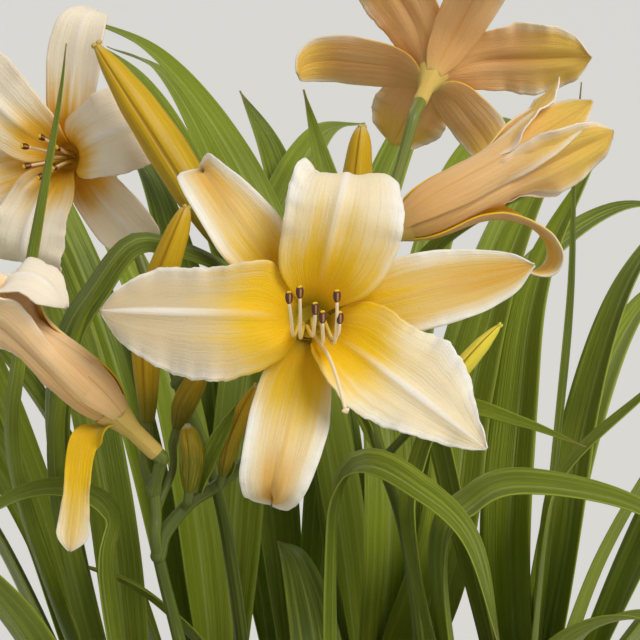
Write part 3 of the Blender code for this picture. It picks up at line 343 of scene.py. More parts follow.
# The front bloom's stamens and style beyond its tube, as seen from the front
HERO_STAMENS = (
    ((-2.8, -3.2, 4), (-3.6, -6.2, 17), (-3.5, 1.0, 30), (-3.6, 6.2, 35)),
    ((-4.0, -2.0, 3), (-5.8, -5.6, 15), (-6.4, 0.4, 28), (-6.9, 4.6, 34)),
    ((4.0, -3.0, 4), (7.0, -8.0, 18), (7.8, -1.0, 31), (7.8, 5.0, 36)),
    ((3.8, -0.8, 3), (6.4, -6.4, 15), (8.3, -4.8, 27), (8.7, -1.6, 31)),
    ((-1.6, -2.8, 4), (0.2, -5.6, 17), (0.9, -2.2, 29), (1.1, 1.2, 34)),
    ((3.0, -2.2, 5), (3.6, -7.4, 20), (3.5, -4.6, 33), (3.4, -1.4, 38)),
)
HERO_STYLE = ((1.0, -5.8, 6), (4.8, -11.0, 20), (7.6, -18, 33), (10.3, -27.6, 42))

# Buds: foot, middle and tip as seen from the front, greatest radius, ripeness from green to gold, shape
BUDS = {
    "bud_small": (((-41.4, -58.4, -26), (-40.4, -46, -24), (-41.9, -35.7, -23)), 4.2, 0.2, BLUNT),
    "bud_green": (((-46.2, -37.9, -37), (-43.4, -28.5, -38), (-37.2, -17, -38)), 4.3, 0.35, BLUNT),
    "bud_bronze": (((-30.5, -53.7, -31), (-26.6, -38.6, -28), (-18.9, -22.1, -27)), 3.3, 0.55, POINTED),
    "bud_long": (((-56.6, -36, -42), (-56.2, 0, -47), (-43.4, 38.8, -46)), 5.6, 0.8, BLUNT),
    "bud_great": (((-29, 23, -58), (-53, 62, -58), (-76, 96, -56)), 7.4, 0.7, POINTED),
    "bud_crown": (((12, 9, -82), (15, 41, -83), (17.7, 69.7, -81)), 5.7, 0.6, BLUNT),
    # The slim bud's ripeness of 0.95 also lays painted light on it.
    "bud_slim": (((43, -28, -48), (54, -14, -44), (64.6, -2, -42)), 3.3, 0.95, POINTED),
}

# Fans: foot, general heading, spread about it, number of leaves, how upright and how long
FANS = [
    (-72, 2, 165, 55, 5, 9, 430),
    (-44, 56, 130, 60, 6, 7, 470),
    (20, 70, 80, 60, 5, 7, 480),
    (76, 26, 20, 55, 3, 9, 440),
    (2, 6, 60, 150, 6, 9, 220),
    (54, -44, -35, 50, 4, 16, 340),
    (-62, -54, 215, 45, 4, 16, 340),
    (0, -74, -90, 60, 4, 22, 300),
    (-12, 88, 100, 70, 5, 10, 450),
]

# Leaves that the view shows singly: fan, points above the crown as seen from the front, width, the way
# that they open, and twist
PLACED_LEAVES = (
    (0, ((-90, -60, -62), (-87.8, -11.8, -54), (-75.6, 12, -56), (-62.6, 27.2, -58), (-46.5, 25.5, -62),
         (-31, 19, -68), (-12, 8, -74), (4, -8, -78)), 17, 200, 35),
    (6, ((-88, -62, -50), (-82.6, -8.6, -46), (-66.9, 18.6, -41)), 10, 250, 0),
    (6, ((-72, -92, -42), (-70, -68, -42), (-83, -59.2, -41), (-101, -61, -40), (-130, -78, -38)),
     14, 180, -35),
    (7, ((8, -90, -42), (10, -60, -44), (18, -51, -42), (33, -57, -34), (52, -74, -22), (62, -110, -8)),
     19, -20, 25),
    (5, ((46, -86, -44), (56, -64, -40), (74, -57.5, -36), (110.6, -64.8, -28), (136, -88, -20)),
     21, 0, 25),
    (5, ((36, -80, -60), (38, -50, -58), (48, -31, -46), (70, -35, -32), (91.5, -43, -22)), 12, -10, 55),
    (3, ((52, -60, -112), (38, 4, -112), (45.3, 25.6, -112), (69.7, 41.7, -114), (92, 50, -118)),
     13, 20, 40),
    (0, ((-102, -60, -48), (-102, -10, -48), (-98, 20.2, -50), (-88.8, 73.4, -54), (-86, 96, -56)),
     9, 230, 0),
    (3, ((90, -60, -100), (95.9, 6.7, -99), (97.3, 56.7, -102), (100, 88, -106)), 8, -30, 0),
    (3, ((84, -80, -78), (91.6, -54, -72), (115, -28.8, -60), (136, -10, -50)), 13, -20, 30),
    (2, ((52, -90, -140), (62, -30, -146), (78, 26, -152), (102, 76, -160)), 26, 60, 0),
    (2, ((30, -90, -150), (28, -30, -156), (12, 30, -162), (-4, 92, -170)), 24, 100, 0),
    (3, ((96, -90, -120), (104, -40, -126), (120, 10, -134), (146, 50, -142)), 24, 30, 0),
    (3, ((76, -90, -134), (80, -34, -138), (88, 16, -142), (112, 66, -148)), 25, 50, 0),
)


# Curves and surfaces as arrays of points


def station_curve(values, places):
    """A soft curve through values given at the stations."""
    fine = np.linspace(0, 1, 201)
    straight = np.interp(fine, STATIONS, values)
    window = np.hanning(29)
    padded = np.concatenate([np.full(14, straight[0]), straight, np.full(14, straight[-1])])
    soft = np.convolve(padded, window / window.sum(), mode="valid")
    ends = smooth(np.minimum(fine, 1 - fine) / 0.07)
    return np.interp(places, fine, soft * ends + straight * (1 - ends))


def in_bloom(bloom, points):
    """Points of a bloom's own frame, in the part's frame."""
    return np.asarray(points) @ bloom_frame(bloom.axis) + bloom.throat


def rolled(side, face, angle):
    """A blade's side and face directions after a twist about its length."""
    return np.cos(angle) * side + np.sin(angle) * face, np.cos(angle) * face - np.sin(angle) * side


def tepal_lift(tepal, u, v, half, beat, frill):
    """How far a tepal stands off the curve of its lean: cup, rib, ruffles, crimps, pleats, fold, foot."""
    across = v * half
    opened = smooth((u - 0.15) / 0.3)
    rib = np.exp(-(across / 1.8) ** 2) - 0.5 * np.exp(-((np.abs(across) - 4) / 2.5) ** 2)
    rise = RIB_RISE * (0.3 if tepal.sepal else 1.0)
    ripple = np.sin(beat) + 0.45 * np.sin(2.3 * beat + 1.1)
    crimp = np.sin(4.7 * beat + 0.6) + 0.6 * np.sin(8.9 * beat + 2.4)
    near_fold = np.exp(-((u - tepal.fold_at) / tepal.fold_spread) ** 2)
    lift = tepal.cup * half * v ** 2 * opened
    lift = lift + rise * rib * opened * (1 - smooth((u - 0.85) / 0.15))
    lift = lift + tepal.wave * np.abs(v) ** 2.5 * ripple * smooth((u - 0.2) / 0.3)
    lift = lift + 0.42 * frill * tepal.wave * np.abs(v) ** 6 * crimp * smooth((u - 0.25) / 0.25)
    lift = lift + 0.04 * np.cos(9 * math.pi * v) * opened
    lift = lift + tepal.fold_rise * np.clip(v * tepal.fold_side, 0, 1) ** 2 * near_fold
    foot = smooth(u / 0.18)
    if tepal.sepal:
        return lift - ROOT_STEP - (tepal.under - ROOT_STEP) * foot
    return lift + ROOT_STEP * (1 - foot)


def tepal_surface(tepal, bloom, rows, columns, frill):
    """A tepal's middle surface in the part's frame: rows run along it, columns across it."""
    fine = np.linspace(0, 1, 200)
    lean = np.radians(station_curve(tepal.lean, fine))
    step = tepal.length / (len(fine) - 1)
    mid_sin = (np.sin(lean[1:]) + np.sin(lean[:-1])) / 2
    mid_cos = (np.cos(lean[1:]) + np.cos(lean[:-1])) / 2
    reach = bloom.root[0] + np.concatenate([[0], np.cumsum(mid_sin)]) * step
    height = bloom.root[1] + np.concatenate([[0], np.cumsum(mid_cos)]) * step
    along = np.linspace(0, 1, rows) ** TEPAL_CROWDING
    r = np.interp(along, fine, reach)[:, None]
    z = np.interp(along, fine, height)[:, None]
    lean = np.interp(along, fine, lean)[:, None]
    u = along[:, None]
    v = np.linspace(1, -1, columns)[None, :]
    r = r + np.interp(v, *zip(*tepal.crest)) * smooth((u - 0.45) / 0.25)
    frill = frill * tepal.frill
    beat = 2 * math.pi * tepal.waves * u + tepal.phase + np.where(v > 0, 1.7, 0)
    rounding = np.sqrt(np.clip(1 - ((u - 0.93) / 0.07).clip(0) ** 2, 0, 1))
    half = np.where(v > 0, station_curve(tepal.ccw, u), station_curve(tepal.cw, u))
    nibble = 1 + 0.018 * frill * (np.sin(3.3 * beat) + 0.7 * np.sin(7.1 * beat + 2)) * (not tepal.sepal)
    half = np.maximum(half * rounding * nibble, 0.35)
    wrap = 1 - smooth((u - tepal.closed_to + 0.36) / 0.36)
    half = np.minimum(half, r * 0.9) * wrap + half * (1 - wrap)
    across = v * half
    turn = math.radians(tepal.turn) + wrap * across / r
    zero = np.zeros_like(turn)
    radial = np.stack([np.cos(turn), np.sin(turn), zero], -1)
    side = np.stack([-np.sin(turn), np.cos(turn), zero], -1)
    axial = np.stack([zero, zero, zero + 1], -1)
    lean = (lean + zero)[..., None]
    face = -np.cos(lean) * radial + np.sin(lean) * axial
    twist = np.radians(tepal.twist) * smooth(u / 0.24)[..., None]
    side, face = rolled(side, face, twist)
    lift = tepal_lift(tepal, u, v, half, beat, frill)[..., None]
    flat_across = ((1 - wrap) * across)[..., None]
    return in_bloom(bloom, r[..., None] * radial + z[..., None] * axial + flat_across * side + lift * face)


def spline(points, count, crowding=1.0):
    """Points on a smooth curve through the given ones, closer towards its end for crowding below 1."""
    given = np.asarray(points, float)
    given = np.vstack([2 * given[0] - given[1], given, 2 * given[-1] - given[-2]])
    spans = len(given) - 3
    place = np.linspace(0, spans, 40 * spans)
    first = np.minimum(place.astype(int), spans - 1)
    t = (place - first)[:, None]
    a, b, c, d = given[first], given[first + 1], given[first + 2], given[first + 3]
    bend = (2 * a - 5 * b + 4 * c - d) * t ** 2 + (3 * b - 3 * c + d - a) * t ** 3
    curve = 0.5 * (2 * b + (c - a) * t + bend)
    gone = np.concatenate([[0], np.cumsum(np.linalg.norm(np.diff(curve, axis=0), axis=1))])
    wanted = np.linspace(0, 1, count) ** crowding * gone[-1]
    return np.stack([np.interp(wanted, gone, curve[:, k]) for k in range(3)], 1)


def leaf_surface(route, width, heading, twist=0.0, open_fold=OPEN_FOLD, rows=72, columns=11):
    """A strap leaf folded along its midrib, nearly shut at its foot and flatter towards its tip."""
    middle = spline(route, rows, LEAF_CROWDING)
    tangent = unit_rows(np.gradient(middle, axis=0))
    flat = np.array([-math.sin(heading), math.cos(heading), 0.0])
    side = unit_rows(flat - (tangent @ flat)[:, None] * tangent)
    face = np.cross(tangent, side)
    u = np.linspace(0, 1, rows) ** LEAF_CROWDING
    turn = np.radians(twist) * smooth((u - 0.1) / 0.9)
    side, face = rolled(side, face, turn[:, None])
    pointed = 1 - np.clip((u - 0.45) / 0.55, 0, 1) ** 2.4
    half = 0.5 * width * np.maximum((0.5 + 0.5 * smooth(u / 0.35)) * pointed, 0.03)
    fold = np.radians(FOOT_FOLD + (open_fold - FOOT_FOLD) * smooth(u / 0.4))
    v = np.linspace(-1, 1, columns)
    crease = np.sqrt(v ** 2 + 0.012) - math.sqrt(0.012)
    out = (np.cos(fold) * half)[:, None] * v
    rise = (np.sin(fold) * half)[:, None] * crease
    beat = 9 * u[:, None] + width + np.where(v > 0, 1.3, 0)
    rise = rise + 0.035 * half[:, None] * v ** 2 * (np.sin(beat) + 0.5 * np.sin(2.7 * beat))
    return middle[:, None] + out[..., None] * side[:, None] + rise[..., None] * face[:, None]


def arching_route(foot, heading, length, lean, droop, drift):
    """A leaf that rises from its foot, leans out along its heading and arches over."""
    s = np.linspace(0, 1, 24)
    angle = np.radians(lean + (droop - lean) * s ** 2.4)
    way = heading + math.radians(drift) * s ** 1.5
    step = length / (len(s) - 1)
    out = np.sin(angle) * step
    moves = np.stack([out * np.cos(way), out * np.sin(way), np.cos(angle) * step], 1)
    return (np.asarray(foot) + np.vstack([[0, 0, 0], np.cumsum(moves[:-1], axis=0)]))[::3]


def sweep(route, radii, outline):
    """A closed skin about a route. outline is its cross-section, as shares of the radius at each side."""
    route = np.asarray(route, float)
    tangent = unit_rows(np.gradient(route, axis=0))
    across = np.cross(tangent[0], (0.3, -0.9, 0.31))
    angle = circle(len(outline))
    rings = []
    for point, way, radius in zip(route, tangent, radii):
        across = unit(across - (across @ way) * way)
        other = np.cross(way, across)
        ring = np.cos(angle)[:, None] * across + np.sin(angle)[:, None] * other
        rings.append(point + radius * outline[:, None] * ring)
    return np.array(rings)


def turned(profile, steps):
    """Rings of a profile of (radius, height) turned about Z."""
    angle = circle(steps)
    return np.array([np.stack([r * np.cos(angle), r * np.sin(angle), np.full(steps, z)], 1)
                     for r, z in profile])


# Meshes


class Form:
    """Points, faces and surface values of one piece, gathered surface by surface."""

    def __init__(self):
        self.points = []
        self.faces = []
        self.slots = []
        self.values = {"along": [], "across": [], "tone": []}

    def add(self, grid, closed=False, along=None, across=None, tone=0.0, slot=0, caps=True):
        """Adds a surface of rows and columns. A closed one joins its last column to its first."""
        rows, columns = grid.shape[:2]
        start = sum(len(block) for block in self.points)
        self.points.append(grid.reshape(-1, 3))
        index = start + np.arange(rows * columns).reshape(rows, columns)
        nearer = np.concatenate([index, index[:, :1]], 1) if closed else index
        quads = np.stack([nearer[:-1, :-1], nearer[:-1, 1:], nearer[1:, 1:], nearer[1:, :-1]], -1)
        self.faces.extend(quads.reshape(-1, 4).tolist())
        if closed and caps:
            self.faces.append(index[0][::-1].tolist())
            self.faces.append(index[-1].tolist())
        self.slots.extend([slot] * (len(self.faces) - len(self.slots)))
        along = np.linspace(0, 1, rows) if along is None else np.asarray(along)
        across = np.linspace(-1, 1, columns) if across is None else np.asarray(across)
        shape = (rows, columns)
        self.values["along"].append(np.broadcast_to(along[:, None], shape).ravel())
        self.values["across"].append(np.broadcast_to(across[None, :], shape).ravel())
        self.values["tone"].append(np.full(rows * columns, tone))

    def make(self, name, materials, thick=None):
        """The piece as an object. A thickness makes closed blades of its open surfaces."""
        mesh = bpy.data.meshes.new(name)
        mesh.from_pydata((np.concatenate(self.points) * MM).tolist(), [], self.faces)
        for key, blocks in self.values.items():
            layer = mesh.attributes.new(key, "FLOAT", "POINT")
            layer.data.foreach_set("value", np.concatenate(blocks).astype(np.float32))
        mesh.polygons.foreach_set("material_index", self.slots)
        mesh.shade_smooth()
        for finish in materials:
            mesh.materials.append(finish)
        piece = bpy.data.objects.new(name, mesh)
        bpy.context.scene.collection.objects.link(piece)
        if thick:
            solid = piece.modifiers.new("Thickness", "SOLIDIFY")
            solid.thickness = thick
            solid.offset = 0.0
            solid.material_offset = len(materials) - 1
        return piece


def dress(piece, slot, *nodes):
    """Say what a piece stands for: its body and the solids that it replaces. slot is not used."""
    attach(piece, "root")
    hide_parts(*nodes)


# Materials


class Number:
    """A shader value that works as a number. Each operation on it adds a Math node."""

    def __init__(self, shader, output):
        self.shader = shader
        self.output = output

    def math(self, operation, *others):
        return self.shader.add("ShaderNodeMath", {"operation": operation}, enumerate((self, *others)))

    def __add__(self, other):
        return self.math("ADD", other)

    def __mul__(self, other):
        return self.math("MULTIPLY", other)

    def __sub__(self, other):
        return self.math("SUBTRACT", other)

    def __rsub__(self, other):
        return self * -1 + other

    def __abs__(self):
        return self.math("ABSOLUTE")

    __radd__ = __add__
    __rmul__ = __mul__


class Shader:
    """A material on one Principled shader, built up from expressions."""

    def __init__(self, name):
        self.material = bpy.data.materials.new(name)
        self.material.use_nodes = True
        self.tree = self.material.node_tree
        self.surface = self.tree.nodes["Principled BSDF"]

    def add(self, kind, settings=None, sockets=(), output=0):
        """A node of a kind, with its settings first and then the values or links of its sockets."""
        node = self.tree.nodes.new(kind)
        for key, value in (settings or {}).items():
            setattr(node, key, value)
        for key, value in (sockets.items() if isinstance(sockets, dict) else sockets):
            self.feed(node.inputs[key], value)
        return Number(self, node.outputs[output])

    def feed(self, socket, value):
        """Links a shader value to a socket, or sets a plain one on it."""
        if isinstance(value, Number):
            self.tree.links.new(value.output, socket)
        elif socket.type == "RGBA":
            socket.default_value = (*tuple(value)[:3], 1.0)
        else:
            socket.default_value = value

    def attribute(self, name):
        """A value that the mesh carries at its points."""
        return self.add("ShaderNodeAttribute", {"attribute_name": name}, output="Fac")

    def values(self):
        """The surface's own values: how far along it, how far across it, and its tone."""
        return [self.attribute(name) for name in ("along", "across", "tone")]

    def noise(self, scale, detail, distortion=0.0):
        """Soft noise between 0 and 1, fixed to the part, with scale in turns a metre."""
        place = self.add("ShaderNodeTexCoord", output="Object")
        return self.add("ShaderNodeTexNoise", {}, {"Vector": place, "Scale": scale, "Detail": detail,
                                                   "Distortion": distortion})

    def streaks(self, across, along, tone):
        """Noise drawn out along a surface, between 0 and 1, from the surface's own values."""
        place = self.add("ShaderNodeCombineXYZ", {}, {"X": across, "Y": along, "Z": tone})
        return self.add("ShaderNodeTexNoise", {}, {"Vector": place, "Scale": 1.0, "Detail": 3.0})

    def rise(self, value, low, high):
        """0 below low, 1 above high and a smooth rise between them."""
        return self.add("ShaderNodeMapRange", {"interpolation_type": "SMOOTHSTEP"},
                        {"Value": value, "From Min": low, "From Max": high})

    def fall(self, value, low, high):
        """1 below low, 0 above high and a smooth fall between them."""
        return 1 - self.rise(value, low, high)

    def layers(self, ground, *coats):
        """A colour under coats of others. Each coat is a colour and its share from 0 to 1."""
        for colour, share in coats:
            ground = self.add("ShaderNodeMix", {"data_type": "RGBA"}, {0: share, 6: ground, 7: colour},
                              output=2)
        return ground

    def finish(self, colour, roughness, height=None, relief=0.0, **constants):
        """Feeds the shader. relief is the height's size in metres."""
        self.feed(self.surface.inputs["Base Color"], colour)
        self.feed(self.surface.inputs["Roughness"], roughness)
        if height is not None:
            bump = self.add("ShaderNodeBump", {}, {"Height": height, "Distance": relief, "Strength": 1.0})
            self.feed(self.surface.inputs["Normal"], bump)
        for key, value in constants.items():
            self.surface.inputs[key.replace("_", " ")].default_value = value
        return self.material


def finish_tepal(shader, looks, colour, grain, veins, broad):
    """A soft skin with fine grain and sunk veins, which lets a little light through."""
    height = grain * 0.5 - veins * 0.3 - broad * 0.4
    return shader.finish(colour, 0.5 + grain * 0.16, height, looks.relief, Subsurface_Weight=0.25,
                         Subsurface_Radius=(1.0, 0.6, 0.2), Subsurface_Scale=0.002,
                         Specular_IOR_Level=0.2)


def tepal_material(name, looks, flesh, margin, rib, reach, glow, heart, painted_shade_share=0.0):
    """A petal or sepal's face: throat, a heart that bleeds out in streaks, and a pale ruffled margin.

    heart is the colours of the heart's outer and inner part and of the throat. The last value is how much
    painted shade dulls the first petal, which turns away from the light.
    """
    shader = Shader(name)
    along, across, tone = shader.values()
    edge = abs(across)
    drift = tone * 17
    cloud = shader.noise(55, 3) - 0.5
    grain = shader.noise(1100, 2)
    broad = shader.streaks(across * 7, along * 1.2, drift) - 0.5
    fine = shader.streaks(across * looks.vein_count, along * 3, drift)
    veins = shader.rise(fine, 0.42, 0.64)
    middle = shader.fall(edge + broad * 0.4, 0.2, 0.7)
    # Painted shade: the first petal, which turns away from the light, is dulled towards a greyer cream,
    # all but its margin.
    first = shader.fall(tone, 0.02, 0.1)
    bleed = along + edge * 0.1 + cloud * 0.2 + broad * 0.26 + fine * 0.05 - 0.03
    outer = shader.fall(bleed, reach * 0.6, reach * 1.3)
    inner = shader.fall(bleed, reach * 0.3, reach)
    stripe = shader.fall(edge, 0.02, 0.1) * shader.rise(along, 0.16, 0.4)
    colour = shader.layers(
        flesh,
        (looks.cream, shader.rise(tone, 0.55, 0.9) * 0.75),
        (glow, middle * shader.rise(along + cloud * 0.2, 0.45, 0.8) * 0.75),
        (margin, shader.rise(edge + cloud * 0.3 + broad * 0.2, 0.5, 1.0) * 0.9),
        (looks.painted_shade, first * (1 - shader.rise(edge, 0.86, 1.0) * 0.7) * painted_shade_share),
        (heart[0], outer),
        (heart[1], inner * 0.8),
        (rib, stripe * (1 - outer * 0.8) * 0.8),
        (heart[2], shader.fall(along + cloud * 0.1, 0.06, 0.19) * 0.9),
        (looks.vein_tint, veins * 0.08))
    return finish_tepal(shader, looks, colour, grain, veins, broad)


def tepal_back_material(name, looks, flesh, keel, vein, margin, tip):
    """The back of a tepal: a darker keel, long soft streaks, a pale margin and a tint towards its tip."""
    shader = Shader(name)
    along, across, tone = shader.values()
    edge = abs(across)
    drift = tone * 17 + 5
    cloud = shader.noise(45, 3) - 0.5
    grain = shader.noise(1100, 2)
    broad = shader.streaks(across * 3.5, along * 1.1, drift)
    fine = shader.streaks(across * looks.vein_count, along * 3, drift)
    veins = shader.rise(fine, 0.42, 0.64)
    colour = shader.layers(
        flesh,
        (vein, shader.rise(broad + cloud * 0.4, 0.4, 0.7) * 0.5),
        (tip, shader.rise(along + cloud * 0.2, 0.5, 0.85) * 0.8),
        (margin, shader.rise(edge + cloud * 0.4, 0.66, 1.02) * shader.rise(along, 0.35, 0.7)),
        (vein, shader.fall(along + cloud * 0.3, 0.1, 0.5) * 0.45),
        (keel, shader.fall(edge, 0.0, 0.07) * 0.5),
        (vein, veins * 0.1),
        (looks.back_foot, shader.fall(along + cloud * 0.15, -0.2, 0.16)))
    return finish_tepal(shader, looks, colour, grain, veins, broad)


def leaf_material(name, looks):
    """A strap leaf: fine parallel veins, a pale midrib, a pale foot and a dry tip."""
    shader = Shader(name)
    along, across, tone = shader.values()
    edge = abs(across)
    drift = tone * 23
    cloud = shader.noise(16, 3)
    grain = shader.noise(600, 2)
    fine = shader.streaks(across * looks.leaf_veins, along * 6, drift)
    broad = shader.streaks(across * 6, along * 3, drift)
    veins = shader.rise(fine, 0.4, 0.6)
    colour = shader.layers(
        looks.leaf_deep,
        (looks.leaf_green, shader.rise(cloud * 0.7 + tone * 0.5, 0.22, 0.75)),
        (looks.leaf_light, shader.rise(broad, 0.45, 0.7) * 0.4 + veins * 0.14),
        (looks.leaf_rib, shader.fall(edge, 0.02, 0.13) * 0.55),
        (looks.leaf_light, shader.rise(edge, 0.88, 1.0) * 0.5),
        (looks.leaf_foot, shader.fall(along + broad * 0.1, 0.04, 0.28)),
        (looks.leaf_tip, shader.rise(along + cloud * 0.04, 0.985, 1.02) * 0.8))
    height = grain * 0.2 + veins * 0.5 - shader.fall(edge, 0.0, 0.08) * 0.9
    return shader.finish(colour, 0.36 + grain * 0.14 + veins * 0.05, height, 0.0003,
                         Subsurface_Weight=0.1, Subsurface_Radius=(0.5, 1.0, 0.1),
                         Subsurface_Scale=0.0015, Specular_IOR_Level=0.3)


def stem_material(name, looks):
    """A scape: smooth green with faint streaks, paler and yellower towards its top."""
    shader = Shader(name)
    along = shader.attribute("along")
    cloud = shader.noise(30, 3)
    grain = shader.noise(700, 2)
    streaks = shader.streaks(shader.attribute("across") * 9, along * 6, 3.0)
    colour = shader.layers(
        looks.stem_green,
        (looks.stem_pale, shader.rise(along + cloud * 0.5, 0.6, 1.4)),
        (looks.leaf_light, shader.rise(streaks, 0.42, 0.66) * 0.35))
    return shader.finish(colour, 0.4 + grain * 0.15, streaks * 0.4 + grain * 0.2, 0.0002,
                         Subsurface_Weight=0.1, Subsurface_Scale=0.001)


def bud_material(name, looks):
    """A bud: green at its foot and riper towards its tip, with three seams and lengthwise ridges."""
    shader = Shader(name)
    along, across, ripe = shader.values()
    drift = ripe * 40
    cloud = shader.noise(60, 3)
    grain = shader.noise(800, 2)
    broad = shader.streaks(across * 5, along * 1.5, drift)
    fine = shader.streaks(across * 20, along * 3, drift)
    seam = shader.fall(abs((across * (1.5 * math.pi) + 1.5 * math.pi).math("SINE")), 0.04, 0.22)
    colour = shader.layers(
        looks.bud_green,
        (looks.bud_gold, shader.rise(ripe * 0.9 + along * 0.5 + cloud * 0.3, 0.45, 1.15)),
        (looks.bud_bronze, shader.rise(broad, 0.46, 0.7) * (ripe * 0.6)),
        (looks.bud_light, shader.rise(fine, 0.5, 0.66) * 0.35),
        # Painted light: a bud riper than 0.88 turns a bright yellow, as if it stood in full sun.
        (looks.bud_painted_light, shader.rise(ripe, 0.88, 0.94) * 0.95),
        (looks.bud_bronze, seam * (ripe * 0.8 + 0.1)),
        (looks.bud_pale, shader.rise(along, 0.94, 0.995) * (1 - ripe) * 0.9),
        (looks.bud_green, shader.fall(along, 0.02, 0.2) * 0.8))
    height = fine * 0.5 + broad * 0.5 + grain * 0.15 - seam * 0.6
    return shader.finish(colour, 0.38 + grain * 0.14, height, 0.0004, Subsurface_Weight=0.2,
                         Subsurface_Radius=(1.0, 0.7, 0.1), Subsurface_Scale=0.0015,
                         Specular_IOR_Level=0.3)


def filament_material(name, looks):
    """Gold in the throat and paler towards the anther or the tip."""
    shader = Shader(name)
    grain = shader.noise(900, 2)
    top = shader.rise(shader.attribute("along"), 0.42, 0.72)
    colour = shader.layers(looks.filament_foot, (looks.filament_top, top))
    return shader.finish(colour, 0.42 + grain * 0.1, grain, 0.0001, Subsurface_Weight=0.3,
                         Subsurface_Radius=(1.0, 0.6, 0.3), Subsurface_Scale=0.001)


def anther_material(name, looks):
    """A dark anther, open along its face on a brown middle, with pollen at its top."""
    shader = Shader(name)
    along = shader.attribute("along")
    face = shader.attribute("across")
    grain = shader.noise(2600, 2)
    inner = shader.rise(face + grain * 0.12, 0.93, 1.02) * shader.fall(abs(along - 0.48), 0.26, 0.38)
    dust = shader.rise(along + grain * 0.12, 0.9, 0.98)
    colour = shader.layers(looks.anther, (looks.anther_face, inner), (looks.pollen, dust))
    return shader.finish(colour, 0.55 + dust * 0.3, grain * (dust + 0.3) - inner * 0.6, 0.0003)


def clay_material(name, looks):
    """Unglazed clay: mottled, with pale lime bloom, darker towards its foot, and faint turning lines."""
    shader = Shader(name)
    height = shader.attribute("along")
    cloud = shader.noise(14, 5, 0.4)
    speckle = shader.noise(330, 3)
    fine = shader.noise(1400, 2)
    lines = (height * 420 + cloud * 5).math("SINE") * 0.5 + 0.5
    lime = shader.rise(shader.noise(22, 6) + (1 - height) * 0.1 + speckle * 0.12, 0.6, 0.82)
    colour = shader.layers(
        looks.clay,
        (looks.clay_dark, shader.rise(cloud, 0.3, 0.75) * 0.55),
        (looks.clay_pale, shader.rise(speckle, 0.6, 0.75) * 0.28),
        (looks.clay_pale, lime * 0.5),
        (looks.clay_dark, shader.fall(height + cloud * 0.06, 0.02, 0.1) * 0.6))
    return shader.finish(colour, 0.78 + fine * 0.16, lines * 0.35 + speckle * 0.5 + fine * 0.35, 0.0005)


def soil_material(name, looks):
    """Potting soil: dark humus with paler fibres and grit by the lump."""
    shader = Shader(name)
    tone = shader.attribute("tone")
    cloud = shader.noise(60, 4)
    grit = shader.noise(500, 4)
    colour = shader.layers(
        looks.soil_dark,
        (looks.soil_brown, shader.rise(cloud + grit * 0.5, 0.45, 1.0)),
        (looks.bark, shader.rise(tone, 0.5, 0.7)),
        (looks.grit, shader.rise(tone, 0.9, 0.95)))
    return shader.finish(colour, 0.86 + grit * 0.12, grit + cloud * 0.5, 0.0012)


def floor_material(name, looks):
    """A plain matt floor with the faintest flecks."""
    shader = Shader(name)
    colour = shader.layers(looks.floor, (looks.floor_fleck, shader.noise(3, 2) * 0.15))
    return shader.finish(colour, 0.85)


# Settings that a user would change


def colour_setting(name, description, default):
    return FloatVectorProperty(name=name, description=description, subtype="COLOR", size=3, min=0.0,
                               max=1.0, default=default)


def length_setting(name, description, default):
    return FloatProperty(name=name, description=description, default=default, min=0.0, unit="LENGTH")


def number_setting(name, description, default):
    return FloatProperty(name=name, description=description, default=default)


